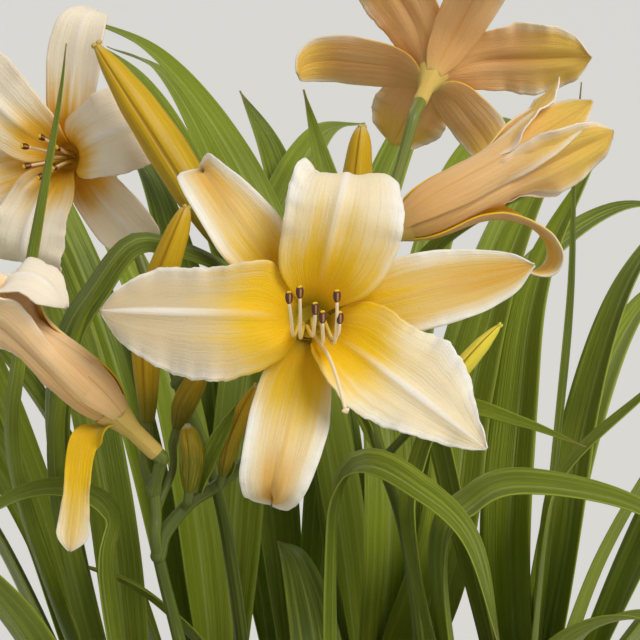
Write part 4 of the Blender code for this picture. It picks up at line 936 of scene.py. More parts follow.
class BloomLooks(bpy.types.PropertyGroup):
    """Petals, sepals, stamens and pistils."""
    thickness: length_setting("Tepal thickness", "Thickness of a petal or sepal", 0.0006)
    relief: length_setting("Vein relief", "Depth of the fine veins", 0.00022)
    vein_count: number_setting("Veins", "How closely the veins run", 26.0)
    frill: number_setting("Frill", "How crimped the petals' margins are", 1.0)
    rows: IntProperty(name="Rows", description="Steps along a tepal", default=72, min=8)
    columns: IntProperty(name="Columns", description="Steps across a tepal", default=37, min=5)
    cream: colour_setting("Cream", "A petal's outer part", (0.91, 0.75, 0.50))
    white: colour_setting("Margin", "A petal's ruffled margin", (0.95, 0.90, 0.82))
    blush: colour_setting("Rib", "The pale band along a petal's midrib", (0.95, 0.86, 0.78))
    sepal_flesh: colour_setting("Sepal", "A sepal's middle", (0.82, 0.57, 0.19))
    sepal_tip: colour_setting("Sepal tip", "The orange glow near a sepal's tip", (0.76, 0.39, 0.03))
    throat_gold: colour_setting("Gold", "The gold heart", (0.84, 0.53, 0.003))
    throat_deep: colour_setting("Deep gold", "The deepest gold", (0.84, 0.48, 0.0))
    throat_green: colour_setting("Throat", "The green throat", (0.44, 0.36, 0.008))
    # Painted shade: the greyer cream that dulls the front bloom's left petal, where it turns away from the
    # light.
    painted_shade: colour_setting("Dusk", "What dulls the front bloom's left petal", (0.42, 0.33, 0.17))
    vein_tint: colour_setting("Vein", "Veins on a petal's face", (0.82, 0.58, 0.32))
    sepal_rib: colour_setting("Sepal rib", "The line along a sepal's midrib", (0.76, 0.48, 0.14))
    peach: colour_setting("Peach", "The side blooms' face", (0.96, 0.82, 0.64))
    orange: colour_setting("Orange", "The side blooms' heart", (0.84, 0.50, 0.03))
    orange_deep: colour_setting("Deep orange", "The deepest part of that heart", (0.72, 0.36, 0.008))
    back_glow: colour_setting("Back glow", "The side blooms' back towards a tip", (0.93, 0.70, 0.42))
    peach_back: colour_setting("Peach back", "The side blooms' back", (0.90, 0.60, 0.33))
    peach_keel: colour_setting("Peach keel", "The keel on a side bloom's back", (0.50, 0.22, 0.07))
    peach_vein: colour_setting("Peach vein", "Long streaks on a side bloom's back", (0.80, 0.44, 0.14))
    peach_margin: colour_setting("Peach margin", "The margin of a side bloom's tepal", (0.93, 0.78, 0.62))
    amber_back: colour_setting("Amber back", "The backs of the blooms at the right", (0.88, 0.54, 0.25))
    amber_vein: colour_setting("Amber vein", "Long streaks on those backs", (0.72, 0.34, 0.07))
    amber_glow: colour_setting("Amber glow", "Those backs towards a tip", (0.90, 0.60, 0.10))
    back_foot: colour_setting("Tube", "The tube under a bloom", (0.66, 0.47, 0.12))
    filament_foot: colour_setting("Filament foot", "A filament in the throat", (0.66, 0.48, 0.06))
    filament_top: colour_setting("Filament", "A filament near its anther", (0.94, 0.76, 0.50))
    anther: colour_setting("Anther", "An anther's rim", (0.10, 0.022, 0.012))
    anther_face: colour_setting("Anther face", "The middle of an anther's face", (0.45, 0.22, 0.07))
    pollen: colour_setting("Pollen", "Pollen at an anther's top", (0.85, 0.55, 0.02))


class FoliageLooks(bpy.types.PropertyGroup):
    """Leaves, scapes and buds."""
    leaf_thickness: length_setting("Leaf thickness", "Thickness of a leaf", 0.0005)
    leaf_veins: number_setting("Leaf veins", "How closely a leaf's veins run", 20.0)
    leaf_green: colour_setting("Leaf", "A leaf's lighter green", (0.20, 0.26, 0.011))
    leaf_deep: colour_setting("Deep leaf", "A leaf's darker green", (0.075, 0.11, 0.004))
    leaf_light: colour_setting("Leaf vein", "Veins and margins of a leaf", (0.36, 0.42, 0.05))
    leaf_rib: colour_setting("Midrib", "A leaf's midrib", (0.36, 0.43, 0.10))
    leaf_foot: colour_setting("Leaf foot", "The pale foot of a leaf", (0.44, 0.48, 0.18))
    leaf_tip: colour_setting("Dry tip", "The dry tip of a leaf", (0.36, 0.26, 0.10))
    stem_green: colour_setting("Scape", "A scape's lower part", (0.08, 0.115, 0.01))
    stem_pale: colour_setting("Pale scape", "A scape near its blooms", (0.17, 0.20, 0.03))
    bud_green: colour_setting("Green bud", "An unripe bud and a bud's foot", (0.16, 0.165, 0.004))
    bud_gold: colour_setting("Gold bud", "A ripe bud", (0.60, 0.37, 0.003))
    bud_bronze: colour_setting("Bronze", "Bronze streaks and seams", (0.36, 0.18, 0.008))
    bud_light: colour_setting("Bud ridge", "The lighter ridges of a bud", (0.70, 0.50, 0.035))
    # Painted light: the bright yellow of a bud in full sun, laid on the ripest bud.
    bud_painted_light: colour_setting("Yellow bud", "A bud in full light", (0.88, 0.74, 0.07))
    bud_pale: colour_setting("Pale tip", "The knobs at a green bud's tip", (0.62, 0.60, 0.36))


class PotLooks(bpy.types.PropertyGroup):
    """Pot and soil."""
    steps: IntProperty(name="Steps", description="Faces around the pot", default=144, min=24)
    crumbs: IntProperty(name="Crumbs", description="Loose lumps on the soil", default=900, min=0)
    clay: colour_setting("Clay", "Fired clay", (0.50, 0.21, 0.10))
    clay_dark: colour_setting("Dark clay", "Damp and mottled clay", (0.34, 0.13, 0.06))
    clay_pale: colour_setting("Lime", "Lime bloom and pale specks", (0.70, 0.50, 0.38))
    soil_dark: colour_setting("Humus", "The darkest soil", (0.018, 0.012, 0.008))
    soil_brown: colour_setting("Soil", "Brown soil", (0.07, 0.042, 0.024))
    bark: colour_setting("Bark", "Chips of bark", (0.19, 0.095, 0.045))
    grit: colour_setting("Grit", "Grains of pale grit", (0.62, 0.60, 0.55))


class StageLooks(bpy.types.PropertyGroup):
    """Floor, lights and camera."""
    floor: colour_setting("Floor", "The plain floor", (0.74, 0.74, 0.72))
    floor_fleck: colour_setting("Floor fleck", "The floor's faint flecks", (0.78, 0.78, 0.76))
    floor_size: length_setting("Floor size", "Width of the floor", 60.0)
    key_strength: number_setting("Key light", "Strength of the soft main light", 2.2)
    back_strength: number_setting("Back light", "Strength of the light from behind", 0.6)
    sky: number_setting("Sky", "Strength of the even light", 0.34)


# Pieces


def add_tube(form, bloom):
    """The tube under a bloom, with a round foot, and the bowl that closes its throat."""
    heights, radii = zip(*bloom.tube)
    fine = np.linspace(heights[0], heights[-1], 14)
    outside = turned(zip(np.interp(fine, heights, radii), fine), TUBE_SIDES)
    outside[..., :2] *= (1 + 0.02 * np.cos(6 * circle(TUBE_SIDES)))[:, None]
    foot = turned([(radii[0] * math.sin(a), heights[0] - 0.9 * radii[0] * math.cos(a))
                   for a in np.linspace(0.02, math.pi / 2, 7)[:-1]], TUBE_SIDES)
    skin = in_bloom(bloom, np.concatenate([foot, outside]))
    along = np.concatenate([np.full(len(foot), -1.0), np.linspace(-1, 0, len(fine))])
    form.add(skin, closed=True, along=along, slot=1, caps=False)
    radius, height = bloom.root
    bowl = turned([(1.35 * radius * math.cos(a), height + 5 - 3 * math.sin(a))
                   for a in np.linspace(0, 1.55, 9)], TUBE_SIDES)
    form.add(in_bloom(bloom, bowl), closed=True, along=np.linspace(0.2, 0, 9), caps=False)


def make_tepals(bloom, looks, petal, sepal, back, slot):
    """Petals, sepals and tube of one bloom. back is the material of their backs."""
    petals = Form()
    sepals = Form()
    tube = Form()
    along = np.linspace(0, 1, looks.rows) ** TEPAL_CROWDING
    for k, tepal in enumerate(bloom.tepals):
        surface = tepal_surface(tepal, bloom, looks.rows, looks.columns, looks.frill * bloom.frill)
        (sepals if tepal.sepal else petals).add(surface, along=along, tone=k / len(bloom.tepals))
    add_tube(tube, bloom)
    for piece in (petals.make(bloom.name + "_petals", [petal, back], looks.thickness),
                  sepals.make(bloom.name + "_sepals", [sepal, back], looks.thickness),
                  tube.make(bloom.name + "_tube", [petal, back])):
        dress(piece, slot, bloom.name + "_tepals")


def collar_place(bloom):
    """Height of the stamens' collar in the bloom's tube, and its outer radius there."""
    heights, radii = zip(*bloom.tube)
    height = heights[-1] - COLLAR_DEPTH
    return height, 0.9 * (np.interp(height - 1.0, heights, radii) - TUBE_WALL) - GAP


def stamen_routes(bloom):
    """Each stamen's points, from the collar to the foot of its anther."""
    height, radius = collar_place(bloom)
    routes = []
    for k in range(6):
        if bloom.name == "hero":
            beyond = seen_route(HERO_STAMENS[k])
            start = bloom_frame(bloom.axis) @ (beyond[0] - bloom.throat)
            turn = math.atan2(start[1], start[0]) + 0.25 * (k % 3 - 1)
        else:
            turn = math.radians(60 * k + 30)
            reach = bloom.stamen_reach
            tip = about_axis(turn, 6.6 * bloom.stamen_spread, (40 + 2 * (k % 3)) * reach)
            beyond = in_bloom(bloom, [about_axis(turn, 3.4, 18 * reach), tip])
        foot = in_bloom(bloom, about_axis(turn, radius - 0.45, height + 1.0))
        routes.append([foot, *beyond])
    return routes


def style_route(bloom):
    """The pistil's points, from the floor of the tube to the stigma."""
    floor = bloom.tube[0][0] + TUBE_WALL + GAP
    height, _ = collar_place(bloom)
    inside = [(0, 0, floor), (0, 0, height), (0, 0, height + 6)]
    if bloom.name == "hero":
        return [*in_bloom(bloom, inside), *seen_route(HERO_STYLE)]
    reach = bloom.stamen_reach
    return in_bloom(bloom, [*inside, (1.2, 0, 26 * reach), (4.5, 0, 50 * reach)])


def add_anther(form, foot, along, facing):
    """A two-lobed anther balanced on its filament, with a slit on either side."""
    middle = foot + along * ANTHER_LENGTH * 0.42
    share = np.linspace(-1, 1, 18)
    bow = (1 - share ** 2) * 0.5
    route = middle + share[:, None] * along * ANTHER_LENGTH / 2 + bow[:, None] * facing * 0.5
    radii = 1.15 * np.sqrt(np.clip(1 - share ** 4, 0.02, 1)) * (1 + 0.08 * np.cos(3 * share))
    angle = circle(ANTHER_SIDES)
    outline = 0.72 + 0.34 * np.cos(angle) ** 2 - 0.12 * np.cos(2 * angle) ** 4
    form.add(sweep(route, radii, outline), closed=True, across=np.abs(np.sin(angle)))


def make_stamens(bloom, filament, anther):
    """A bloom's six filaments, and an anther on each."""
    threads = Form()
    heads = Form()
    for route in stamen_routes(bloom):
        fine = spline(route, FILAMENT_ROWS)
        threads.add(sweep(fine, np.linspace(*FILAMENT_RADII, FILAMENT_ROWS), np.ones(10)), closed=True)
        ahead = unit(fine[-1] - fine[-3])
        along = unit(UP * 0.9 + TOWARD * 0.5) if bloom.name == "hero" else ahead
        add_anther(heads, fine[-1], along, ahead)
    dress(threads.make(bloom.name + "_filaments", [filament]), "stamen", bloom.name + "_stamens")
    dress(heads.make(bloom.name + "_anthers", [anther]), "stamen", bloom.name + "_stamens")


def make_pistil(bloom, filament):
    """The style and its small three-lobed stigma."""
    form = Form()
    fine = spline(style_route(bloom), STYLE_ROWS)
    form.add(sweep(fine, np.linspace(*STYLE_RADII, STYLE_ROWS), np.ones(10)), closed=True)
    ahead = unit(fine[-1] - fine[-3])
    share = np.linspace(0, 1, 10)
    tip = fine[-1] + share[:, None] * ahead * 1.6
    radii = 0.55 + 0.6 * np.sin(math.pi * share * 0.85) ** 1.5 - 0.5 * share ** 6
    lobes = 1 + 0.2 * np.cos(3 * circle(18))
    form.add(sweep(tip, radii, lobes), closed=True, along=np.ones(len(share)))
    dress(form.make(bloom.name + "_style", [filament]), "pistil", bloom.name + "_pistil")


def bud_axis(name):
    """A bud's foot and the way that it points there."""
    points = spline(seen_route(BUDS[name][0]), 9)
    return points[0], unit(points[1] - points[0])


def bloom_foot(name):
    """A bloom's foot and the way that it points there."""
    bloom = BLOOMS[name]
    axis = unit(bloom.axis)
    return bloom.throat + bloom.tube[0][0] * axis, axis


def seat(end, back):
    """The last two points of a stalk that carries something: it stops a gap short of its foot."""
    foot, axis = end
    return [foot - (GAP + back) * axis, foot - GAP * axis]


def branch(places, end, back, radius):
    """A stalk's route through places seen from the front to what it carries, and its radius."""
    return [*seen_route(places), *seat(end, back)], radius


def stem_foot(x, y):
    """A scape stands straight in its hole in the soil."""
    return [(x, y, SOIL_TOP - ROOT_DEPTH), (x, y, SOIL_TOP + 4.0)]


# Scapes: each stem's points, its branches, and the places and width of each of its bracts
FRONT_FORK = (-51.8, -79.9, -28)
SCAPES = {
    "scape_front": {
        "stem": [*stem_foot(-28, -40), (-32, -48, 240), (-48, -76, 330),
                 *seen_route([FRONT_FORK, (-52.4, -66, -27), (-53.2, -54, -26)])],
        "branches": [
            branch([(-53.2, -58, -26.5)], bloom_foot("left"), 3.0, 2.1),
            branch([(-52.8, -60, -27), (-57.4, -50, -36)], bud_axis("bud_long"), 5.0, 1.5),
            branch([(-52.2, -64, -27.5), (-47.5, -52, -33)], bud_axis("bud_green"), 5.0, 1.3),
            branch([FRONT_FORK, (-49.6, -72.3, -29), (-41.3, -62.5, -31), (-33, -57.2, -35),
                    (-19.5, -45.6, -42), (-8, -26, -52)], bloom_foot("hero"), 8.0, 2.1),
            branch([(-43.5, -65, -30.5)], bud_axis("bud_small"), 3.0, 1.4),
            branch([(-35.5, -59.5, -34)], bud_axis("bud_bronze"), 2.5, 1.3),
        ],
        "bracts": [([(-38.6, -60.5, -32.5), (-35, -47, -28), (-25.4, -28.9, -21)], 7.0),
                   ([(-30, -55.3, -36), (-27.6, -50, -34.5), (-27, -46, -34)], 3.6)],
    },
    "scape_back": {
        "stem": [*stem_foot(-28, 30), (-30, 26, 260), (-40, 0, 370),
                 *seen_route([(-50, -22, -96), (-62, 12, -118)]), *seat(bloom_foot("high_left"), 10.0)],
        "branches": [branch([(-50, -24, -96), (-36, -10, -80), (-23, 10, -62)], bud_axis("bud_great"),
                            5.0, 1.9)],
        "bracts": [([(-50.5, -22, -97), (-58, -6, -92), (-66, 8, -84)], 5.0)],
    },
    "scape_right": {
        "stem": [*stem_foot(42, 0), (40, -2, 270), (30, -10, 360),
                 *seen_route([(24, -48, -84), (16, -14, -78), (7, 5, -69), (5, 15, -63)]),
                 *seat(bloom_foot("high_right"), 5.0)],
        "branches": [
            branch([(19.5, -24, -80)], bud_axis("bud_crown"), 6.0, 1.7),
            branch([(24.6, -52, -85)], bud_axis("bud_slim"), 7.0, 1.5),
            branch([(25.5, -56, -86), (20, -20, -104), (26, 30, -118)], bloom_foot("rear"), 12.0, 1.9),
        ],
        "bracts": [([(24.2, -50, -84.5), (18, -36, -78), (12, -26, -70)], 4.6)],
    },
}


def stalk(points):
    """A stalk's route. Its last stretch is straight, so its end faces what it carries."""
    return np.vstack([spline(points[:-1], 12 * len(points)), points[-1]])


def add_stalk(form, route, radii):
    """A stalk with round ends. Its first value is its height above the soil as a share of the tallest."""
    bulge = np.linspace(0, math.pi / 2, 6)[1:]
    ahead = np.sin(bulge)[:, None] * unit(route[-1] - route[-2]) * radii[-1]
    behind = np.sin(bulge)[:, None] * unit(route[0] - route[1]) * radii[0]
    narrow = np.cos(bulge) + 0.03
    route = np.vstack([(route[0] + behind)[::-1], route, route[-1] + ahead])
    radii = np.concatenate([(narrow * radii[0])[::-1], radii, narrow * radii[-1]])
    form.add(sweep(route, radii, np.ones(18)), closed=True, along=(route[:, 2] - SOIL_TOP) / SCAPE_REACH)


def make_scape(name, stem, bract):
    """One branching stem with its bracts. Each stalk swells a little where it carries something."""
    plan = SCAPES[name]
    form = Form()
    route = stalk(plan["stem"])
    add_stalk(form, route, np.linspace(STEM_RADIUS + STEM_TAPER, STEM_RADIUS - STEM_TAPER, len(route)))
    for points, radius in plan["branches"]:
        route = stalk(points)
        share = np.linspace(0, 1, len(route))
        swell = 0.3 * np.exp(-(share / 0.15) ** 2) + 0.25 * np.exp(-((1 - share) / 0.1) ** 2)
        add_stalk(form, route, radius * (1 + swell))
    dress(form.make(name + "_stalks", [stem]), "scape", name)
    bracts = Form()
    share = np.linspace(0, 1, BRACT_ROWS)
    for places, width in plan["bracts"]:
        surface = leaf_surface(seen_route(places), width, math.radians(90), open_fold=BRACT_FOLD,
                               rows=BRACT_ROWS)
        bracts.add(surface, along=0.3 + 0.6 * share, tone=0.9)
    dress(bracts.make(name + "_bracts", [bract], BRACT_THICKNESS * MM), "scape", name)


def make_bud(name, finish):
    """A bud with three seams, drawn to a blunt tip with three small knobs."""
    places, radius, ripe, shape = BUDS[name]
    route = spline(seen_route(places), BUD_ROWS)
    radii = radius * np.interp(np.linspace(0, 1, BUD_ROWS), *zip(*shape))
    window = np.array([1, 2, 3, 2, 1]) / 9
    radii[2:-2] = np.convolve(radii, window, mode="valid")
    angle = circle(BUD_SIDES)
    off_seam = np.abs((angle * 3 / (2 * math.pi) + 0.5) % 1 - 0.5) * 2
    seams = 0.08 * np.exp(-(off_seam / 0.09) ** 2)
    outline = 1 - seams + 0.03 * np.cos(3 * angle) + 0.012 * np.cos(18 * angle)
    form = Form()
    form.add(sweep(route, radii, outline), closed=True, across=angle / math.pi - 1, tone=ripe)
    ahead = unit(route[-1] - route[-3])
    aside = unit(np.cross(ahead, TOWARD))
    size = KNOB_SHARE * radius
    for k in range(3):
        out = Matrix.Rotation(2 * math.pi / 3 * k, 3, Vector(ahead)) @ Vector(aside)
        spot = route[-1] + size * np.array(out)
        middle = np.linspace(spot - 1.2 * ahead, spot + 0.5 * ahead, len(KNOB))
        knob = sweep(middle, size * np.array(KNOB), np.ones(10))
        form.add(knob, closed=True, along=np.ones(len(KNOB)), tone=ripe)
    dress(form.make(name + "_skin", [finish]), "bud", name)


def solid_points(node):
    """A quick finder of a solid's corners, in millimetres."""
    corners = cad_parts[node].data.vertices
    tree = KDTree(len(corners))
    for k, corner in enumerate(corners):
        tree.insert(corner.co / MM, k)
    tree.balance()
    return tree


def crown_spot(fan, heading, out):
    """A leaf's foot, inside its fan's crown."""
    x, y = FANS[fan][:2]
    return np.array([x, y, 0]) + about_axis(heading, out, LEAF_FOOT)


def placed_leaf(fan, places, heading):
    """A leaf through places seen from the front, from its fan's crown."""
    foot = crown_spot(fan, heading, 4.5)
    points = seen_route(places)
    rise = foot + np.array([0, 0, 66.0]) + 0.18 * (points[0] - foot) * np.array([1, 1, 0])
    return [foot, rise, *points]


def fan_leaves(number):
    """Route, width, heading and twist of each leaf of a fan.

    The solid's leaves tried random ways until one met nothing. The same draws are made here, and the try
    that ends where the solid has a tip is the one that was kept.
    """
    leaves = []
    for fan, places, width, degrees, twist in PLACED_LEAVES:
        if fan == number:
            heading = math.radians(degrees)
            leaves.append((placed_leaf(fan, places, heading), width, heading, twist))
    _, _, way, spread, count, lean, length = FANS[number]
    corners = solid_points(f"leaf_fan_{number + 1}")
    random = np.random.default_rng(FAN_SEED + 1 + number)
    for k in range(count):
        for attempt in range(TRIES):
            share = (k + 0.5) / count * 2 - 1
            outer = k % 2
            heading = math.radians(way + spread * share + random.normal(0, 4 + attempt * 0.8))
            foot = crown_spot(number, heading, 2.0 + 4.5 * outer)
            route = arching_route(foot, heading, length * random.uniform(*LEAF_LENGTHS),
                                  lean + 6 * outer + random.uniform(*LEAF_LEANS),
                                  random.uniform(*LEAF_DROOPS), random.uniform(*LEAF_DRIFTS))
            width = random.uniform(*LEAF_WIDTHS)
            twist = random.uniform(*LEAF_TWISTS)
            if corners.find(route[-1])[2] < TIP_REACH:
                leaves.append((route, width, heading, twist))
                break
    return leaves


def add_sheaths(form, number):
    """The pale leaf bases that wrap a fan's crown, each drawn up to a green point."""
    x, y = FANS[number][:2]
    share = np.linspace(0, 1, 20)[:, None]
    for k in range(SHEATHS):
        turn = 2.4 * k + number
        angle = turn + np.linspace(-1, 1, 15)[None, :] * (1.35 * np.sqrt(1 - share ** 1.5) + 0.02)
        radius = CROWN_RADIUS * (1.02 - 0.1 * share) + 0.22 * k - 0.8 + (1 + 0.5 * (k % 4)) * share ** 3
        height = SOIL_TOP - 6 + (CROWN_TOP - SOIL_TOP - 14 + 11 * (k % 4)) * share
        grid = np.stack([x + radius * np.cos(angle), y + radius * np.sin(angle), height + 0 * angle], -1)
        form.add(grid, along=0.32 * share[:, 0], tone=(k * 3 % SHEATHS) / SHEATHS)


def make_fan(number, finish, thick):
    """One fan: its leaves, and the sheaths about its crown."""
    form = Form()
    for k, (route, width, heading, twist) in enumerate(fan_leaves(number)):
        blade = leaf_surface(route, width, heading, twist)
        form.add(blade, along=np.linspace(0, 1, len(blade)) ** LEAF_CROWDING,
                 tone=((k * 7 + number * 5) % 11) / 10)
    add_sheaths(form, number)
    dress(form.make(f"fan_{number + 1}_leaves", [finish], thick), "leaf", f"leaf_fan_{number + 1}")


def inner_radius(height):
    """Radius of the pot's inside at a height above its underside."""
    slope = (POT_TOP_RADIUS - POT_BASE_RADIUS) / POT_HEIGHT
    return POT_BASE_RADIUS - POT_WALL + slope * height


def arc(middle, radius, start, end):
    """Points of a rounded edge in a profile, between two angles in degrees."""
    angle = np.radians(np.linspace(start, end, 7))
    return [(middle[0] + radius * math.cos(a), middle[1] + radius * math.sin(a)) for a in angle]


def make_pot(looks, finish):
    """The turned pot with a rolled rim and rounded edges, cut by its drain holes."""
    band = POT_HEIGHT - RIM_HEIGHT
    rim = POT_TOP_RADIUS + RIM_PROUD
    under = POT_BASE_RADIUS + (POT_TOP_RADIUS - POT_BASE_RADIUS) * band / POT_HEIGHT
    corner = POT_FLOOR + FLOOR_EDGE
    lip = POT_HEIGHT - POT_EDGE
    profile = [(0.01, POT_FLOOR), (inner_radius(POT_FLOOR) - FLOOR_EDGE - 1, POT_FLOOR)]
    profile += arc((inner_radius(corner) - FLOOR_EDGE, corner), FLOOR_EDGE, -90, 0)
    profile += [(inner_radius(h), h) for h in np.linspace(30, POT_HEIGHT - 5, 12)]
    profile += arc((inner_radius(POT_HEIGHT) + POT_EDGE, lip), POT_EDGE, 180, 90)
    profile += arc((rim - POT_EDGE, lip), POT_EDGE, 90, 0)
    profile += [(rim - RIM_TAPER * (POT_HEIGHT - h), h) for h in np.linspace(POT_HEIGHT - 6, band + 4, 8)]
    profile += arc((rim - 2 * RIM_LOWER_EDGE, band + RIM_LOWER_EDGE), RIM_LOWER_EDGE, 0, -90)
    profile += arc((under + RIM_HOLLOW, band - RIM_HOLLOW), RIM_HOLLOW, 90, 180)
    profile += [(under + (POT_BASE_RADIUS - under) * (band - h) / band, h)
                for h in np.linspace(band - 8, 5, 20)]
    profile += arc((POT_BASE_RADIUS - POT_EDGE, POT_EDGE), POT_EDGE, 0, -90)
    profile += [(0.01, 0)]
    form = Form()
    form.add(turned(profile[::-1], looks.steps), closed=True,
             along=np.array([h for _, h in profile[::-1]]) / POT_HEIGHT)
    pot = form.make("clay_pot", [finish])
    for k in range(DRAINS):
        bpy.ops.mesh.primitive_cylinder_add(
            vertices=40, radius=DRAIN_RADIUS * MM, depth=6 * POT_FLOOR * MM,
            location=about_axis(math.radians(90 + 360 / DRAINS * k), DRAIN_CIRCLE, 0) * MM)
        cutter = bpy.context.object
        hole = pot.modifiers.new(f"Drain {k}", "BOOLEAN")
        hole.object = cutter
        hole.solver = "EXACT"
        bpy.context.view_layer.update()
        cut = bpy.data.meshes.new_from_object(pot.evaluated_get(bpy.context.evaluated_depsgraph_get()))
        pot.modifiers.remove(hole)
        pot.data = cut
        bpy.data.objects.remove(cutter, do_unlink=True)
    pot.data.set_sharp_from_angle(angle=math.radians(40))
    dress(pot, "clay", "pot")


def value_noise(x, y, seed):
    """Smooth noise from a few crossed waves."""
    random = np.random.default_rng(seed)
    total = np.zeros_like(x)
    for _ in range(SOIL_WAVES):
        way = random.uniform(0, 2 * math.pi)
        length = random.uniform(5, 40)
        shift = random.uniform(0, 2 * math.pi)
        across = x * math.cos(way) + y * math.sin(way)
        total += np.sin(across * 2 * math.pi / length + shift) * length / 40
    return total / 3


def make_soil(looks, finish):
    """The soil's uneven top with loose crumbs, bark and grit on it."""
    form = Form()
    edge = inner_radius(SOIL_TOP) - 0.6
    radii = np.concatenate([np.linspace(0.05, edge, SOIL_RINGS), [edge, edge - 2, 0.05]])
    rings = turned([(r, SOIL_TOP) for r in radii], SOIL_STEPS)
    top = rings[:SOIL_RINGS]
    top[..., 2] += SOIL_RELIEF * value_noise(top[..., 0], top[..., 1], 7)
    rings[SOIL_RINGS:, :, 2] = SOIL_TOP - np.array([6.0, 30.0, 30.0])[:, None]
    form.add(rings[::-1], closed=True, tone=0.0)
    random = np.random.default_rng(11)
    for _ in range(looks.crumbs):
        away = edge * math.sqrt(random.uniform(0, 0.97))
        turn = random.uniform(0, 2 * math.pi)
        size = random.uniform(*CRUMB_SIZES)
        kind = random.uniform(0, 1)
        tone = 0.0 if kind < CRUMBS_UP_TO else BARK_TONE if kind < BARK_UP_TO else 1.0
        long = random.uniform(1.0, 2.6) if tone == BARK_TONE else 1.0
        stretch = np.array([long, 1.0, random.uniform(0.4, 0.9)])
        lump = sweep(np.linspace((-1, 0, 0), (1, 0, 0), len(LUMP)), LUMP, np.ones(7))
        lump = lump * (1 + random.normal(0, 0.12, lump.shape)) * size * stretch
        spin = random.uniform(0, 2 * math.pi)
        lump = lump @ [about_axis(spin, 1, 0), about_axis(spin + math.pi / 2, 1, 0), (0, 0, 1)]
        spot = about_axis(turn, away, SOIL_TOP + 0.5 + size * 0.3)
        form.add(lump + spot, closed=True, tone=tone)
    dress(form.make("potting_soil", [finish]), "soil", "soil")


# Operators


class DAYLILY_OT_front_bloom(bpy.types.Operator):
    """Make the open front bloom, cream with a gold heart"""
    bl_idname = "daylily.front_bloom"
    bl_label = "Front bloom"

    def execute(self, context):
        looks = context.scene.daylily_blooms
        heart = (looks.throat_gold, looks.throat_deep, looks.throat_green)
        # The last value is the share of painted shade on the front bloom's left petal.
        petal = tepal_material("cream_petal", looks, looks.cream, looks.white, looks.blush, 0.53,
                               looks.cream, heart, 0.55)
        sepal = tepal_material("gold_sepal", looks, looks.sepal_flesh, looks.white, looks.sepal_rib, 0.5,
                               looks.sepal_tip, heart)
        back = tepal_back_material("cream_back", looks, looks.cream, looks.sepal_flesh, looks.vein_tint,
                                   looks.white, looks.cream)
        make_tepals(HERO, looks, petal, sepal, back, "petal")
        filament = filament_material("filament", looks)
        make_stamens(HERO, filament, anther_material("anther", looks))
        make_pistil(HERO, filament)
        return {"FINISHED"}


class DAYLILY_OT_side_blooms(bpy.types.Operator):
    """Make the peach blooms at the sides and the back"""
    bl_idname = "daylily.side_blooms"
    bl_label = "Side blooms"

    def execute(self, context):
        looks = context.scene.daylily_blooms
        heart = (looks.orange, looks.orange_deep, looks.orange_deep)
        petal = tepal_material("peach_petal", looks, looks.peach, looks.peach_margin, looks.blush, 0.42,
                               looks.peach, heart)
        gold = (looks.throat_gold, looks.throat_deep, looks.throat_green)
        sepal = tepal_material("peach_sepal", looks, looks.peach, looks.peach_margin, looks.sepal_rib,
                               0.8, looks.sepal_flesh, gold)
        back = tepal_back_material("peach_back", looks, looks.peach_back, looks.peach_keel,
                                   looks.peach_vein, looks.peach_margin, looks.back_glow)
        amber = tepal_back_material("amber_back", looks, looks.amber_back, looks.amber_vein,
                                    looks.amber_vein, looks.peach_margin, looks.amber_glow)
        filament = filament_material("side_filament", looks)
        anther = anther_material("side_anther", looks)
        for bloom in SIDE_BLOOMS:
            outside = amber if bloom.throat[0] > THROAT[0] else back
            inside = petal if bloom.name == "high_left" else sepal
            make_tepals(bloom, looks, petal, inside, outside, "peach")
            make_stamens(bloom, filament, anther)
            make_pistil(bloom, filament)
        return {"FINISHED"}


class DAYLILY_OT_buds(bpy.types.Operator):
    """Make the buds, from green to nearly open"""
    bl_idname = "daylily.buds"
    bl_label = "Buds"

    def execute(self, context):
        finish = bud_material("bud", context.scene.daylily_foliage)
        for name in BUDS:
            make_bud(name, finish)
        return {"FINISHED"}


class DAYLILY_OT_scapes(bpy.types.Operator):
    """Make the branching stems and their bracts"""
    bl_idname = "daylily.scapes"
    bl_label = "Scapes"

    def execute(self, context):
        looks = context.scene.daylily_foliage
        stem = stem_material("scape", looks)
        bract = leaf_material("bract", looks)
        for name in SCAPES:
            make_scape(name, stem, bract)
        return {"FINISHED"}


class DAYLILY_OT_leaves(bpy.types.Operator):
    """Make the fans of strap leaves"""
    bl_idname = "daylily.leaves"
    bl_label = "Leaves"

    def execute(self, context):
        looks = context.scene.daylily_foliage
        finish = leaf_material("leaf", looks)
        for number in range(len(FANS)):
            make_fan(number, finish, looks.leaf_thickness)
        return {"FINISHED"}


class DAYLILY_OT_pot(bpy.types.Operator):
    """Make the clay pot and the soil in it"""
    bl_idname = "daylily.pot"
    bl_label = "Pot and soil"

    def execute(self, context):
        looks = context.scene.daylily_pot
        make_pot(looks, clay_material("clay", looks))
        make_soil(looks, soil_material("soil", looks))
        return {"FINISHED"}


def far_light(name, way, strength, colour):
    """A soft light that shines from far off, from the given way."""
    data = bpy.data.lights.new(name, "SUN")
    data.energy = strength
    data.angle = math.radians(LIGHT_SPREAD)
    data.color = colour
    light = bpy.data.objects.new(name, data)
    light.rotation_euler = Vector(way).to_track_quat("Z", "Y").to_euler()
    bpy.context.scene.collection.objects.link(light)


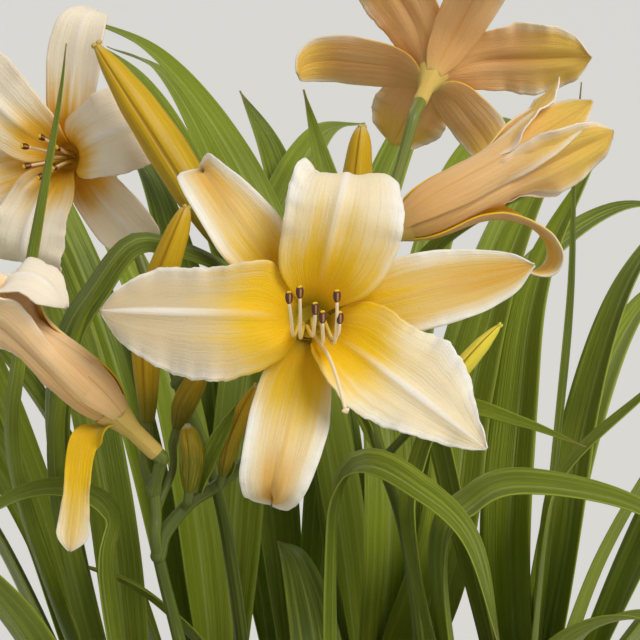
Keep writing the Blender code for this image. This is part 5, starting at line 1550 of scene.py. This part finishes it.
class DAYLILY_OT_stage(bpy.types.Operator):
    """Make the pale floor, the soft lights and the camera"""
    bl_idname = "daylily.stage"
    bl_label = "Stage"

    def execute(self, context):
        looks = context.scene.daylily_stage
        bpy.ops.mesh.primitive_plane_add(size=looks.floor_size, location=(0, 0, 0))
        floor = context.object
        floor.name = "floor"
        floor.data.materials.append(floor_material("floor", looks))
        far_light("key", KEY_WAY, looks.key_strength, (1.0, 0.98, 0.94))
        far_light("back", BACK_WAY, looks.back_strength, (1.0, 0.99, 0.96))
        world = bpy.data.worlds.new("studio")
        world.use_nodes = True
        background = world.node_tree.nodes["Background"]
        background.inputs["Color"].default_value = (1.0, 1.0, 1.0, 1.0)
        background.inputs["Strength"].default_value = looks.sky
        context.scene.world = world
        context.scene.view_settings.view_transform = "Standard"
        data = bpy.data.cameras.new("camera")
        data.sensor_width = SENSOR_WIDTH
        data.lens = SENSOR_WIDTH * VIEW_DISTANCE / VIEW_WIDTH
        camera = bpy.data.objects.new("camera", data)
        camera.location = seen(*VIEW_CENTRE, VIEW_DISTANCE) * MM
        camera.rotation_euler = Matrix([RIGHT, UP, TOWARD]).transposed().to_euler()
        context.scene.collection.objects.link(camera)
        context.scene.camera = camera
        return {"FINISHED"}


OPERATORS = (DAYLILY_OT_stage, DAYLILY_OT_front_bloom, DAYLILY_OT_side_blooms, DAYLILY_OT_buds,
             DAYLILY_OT_scapes, DAYLILY_OT_leaves, DAYLILY_OT_pot)
GROUPS = {"daylily_blooms": BloomLooks, "daylily_foliage": FoliageLooks, "daylily_pot": PotLooks,
          "daylily_stage": StageLooks}


class DAYLILY_PT_panel(bpy.types.Panel):
    """Sizes, colours and pieces of the daylily"""
    bl_idname = "DAYLILY_PT_panel"
    bl_label = "Daylily"
    bl_space_type = "VIEW_3D"
    bl_region_type = "UI"
    bl_category = "Daylily"

    def draw(self, context):
        for operator in OPERATORS:
            self.layout.operator(operator.bl_idname)
        for key in GROUPS:
            box = self.layout.box()
            group = getattr(context.scene, key)
            for setting in group.bl_rna.properties:
                if setting.identifier not in ("name", "rna_type"):
                    box.prop(group, setting.identifier)


def register():
    for group in GROUPS.values():
        bpy.utils.register_class(group)
    for key, group in GROUPS.items():
        setattr(bpy.types.Scene, key, PointerProperty(type=group))
    for operator in OPERATORS:
        bpy.utils.register_class(operator)
    bpy.utils.register_class(DAYLILY_PT_panel)


def unregister():
    bpy.utils.unregister_class(DAYLILY_PT_panel)
    for operator in reversed(OPERATORS):
        bpy.utils.unregister_class(operator)
    for key, group in GROUPS.items():
        delattr(bpy.types.Scene, key)
        bpy.utils.unregister_class(group)


def main():
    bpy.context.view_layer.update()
    register()
    for operator in OPERATORS:
        group, name = operator.bl_idname.split(".")
        getattr(getattr(bpy.ops, group), name)()


if __name__ == "__main__":
    main()
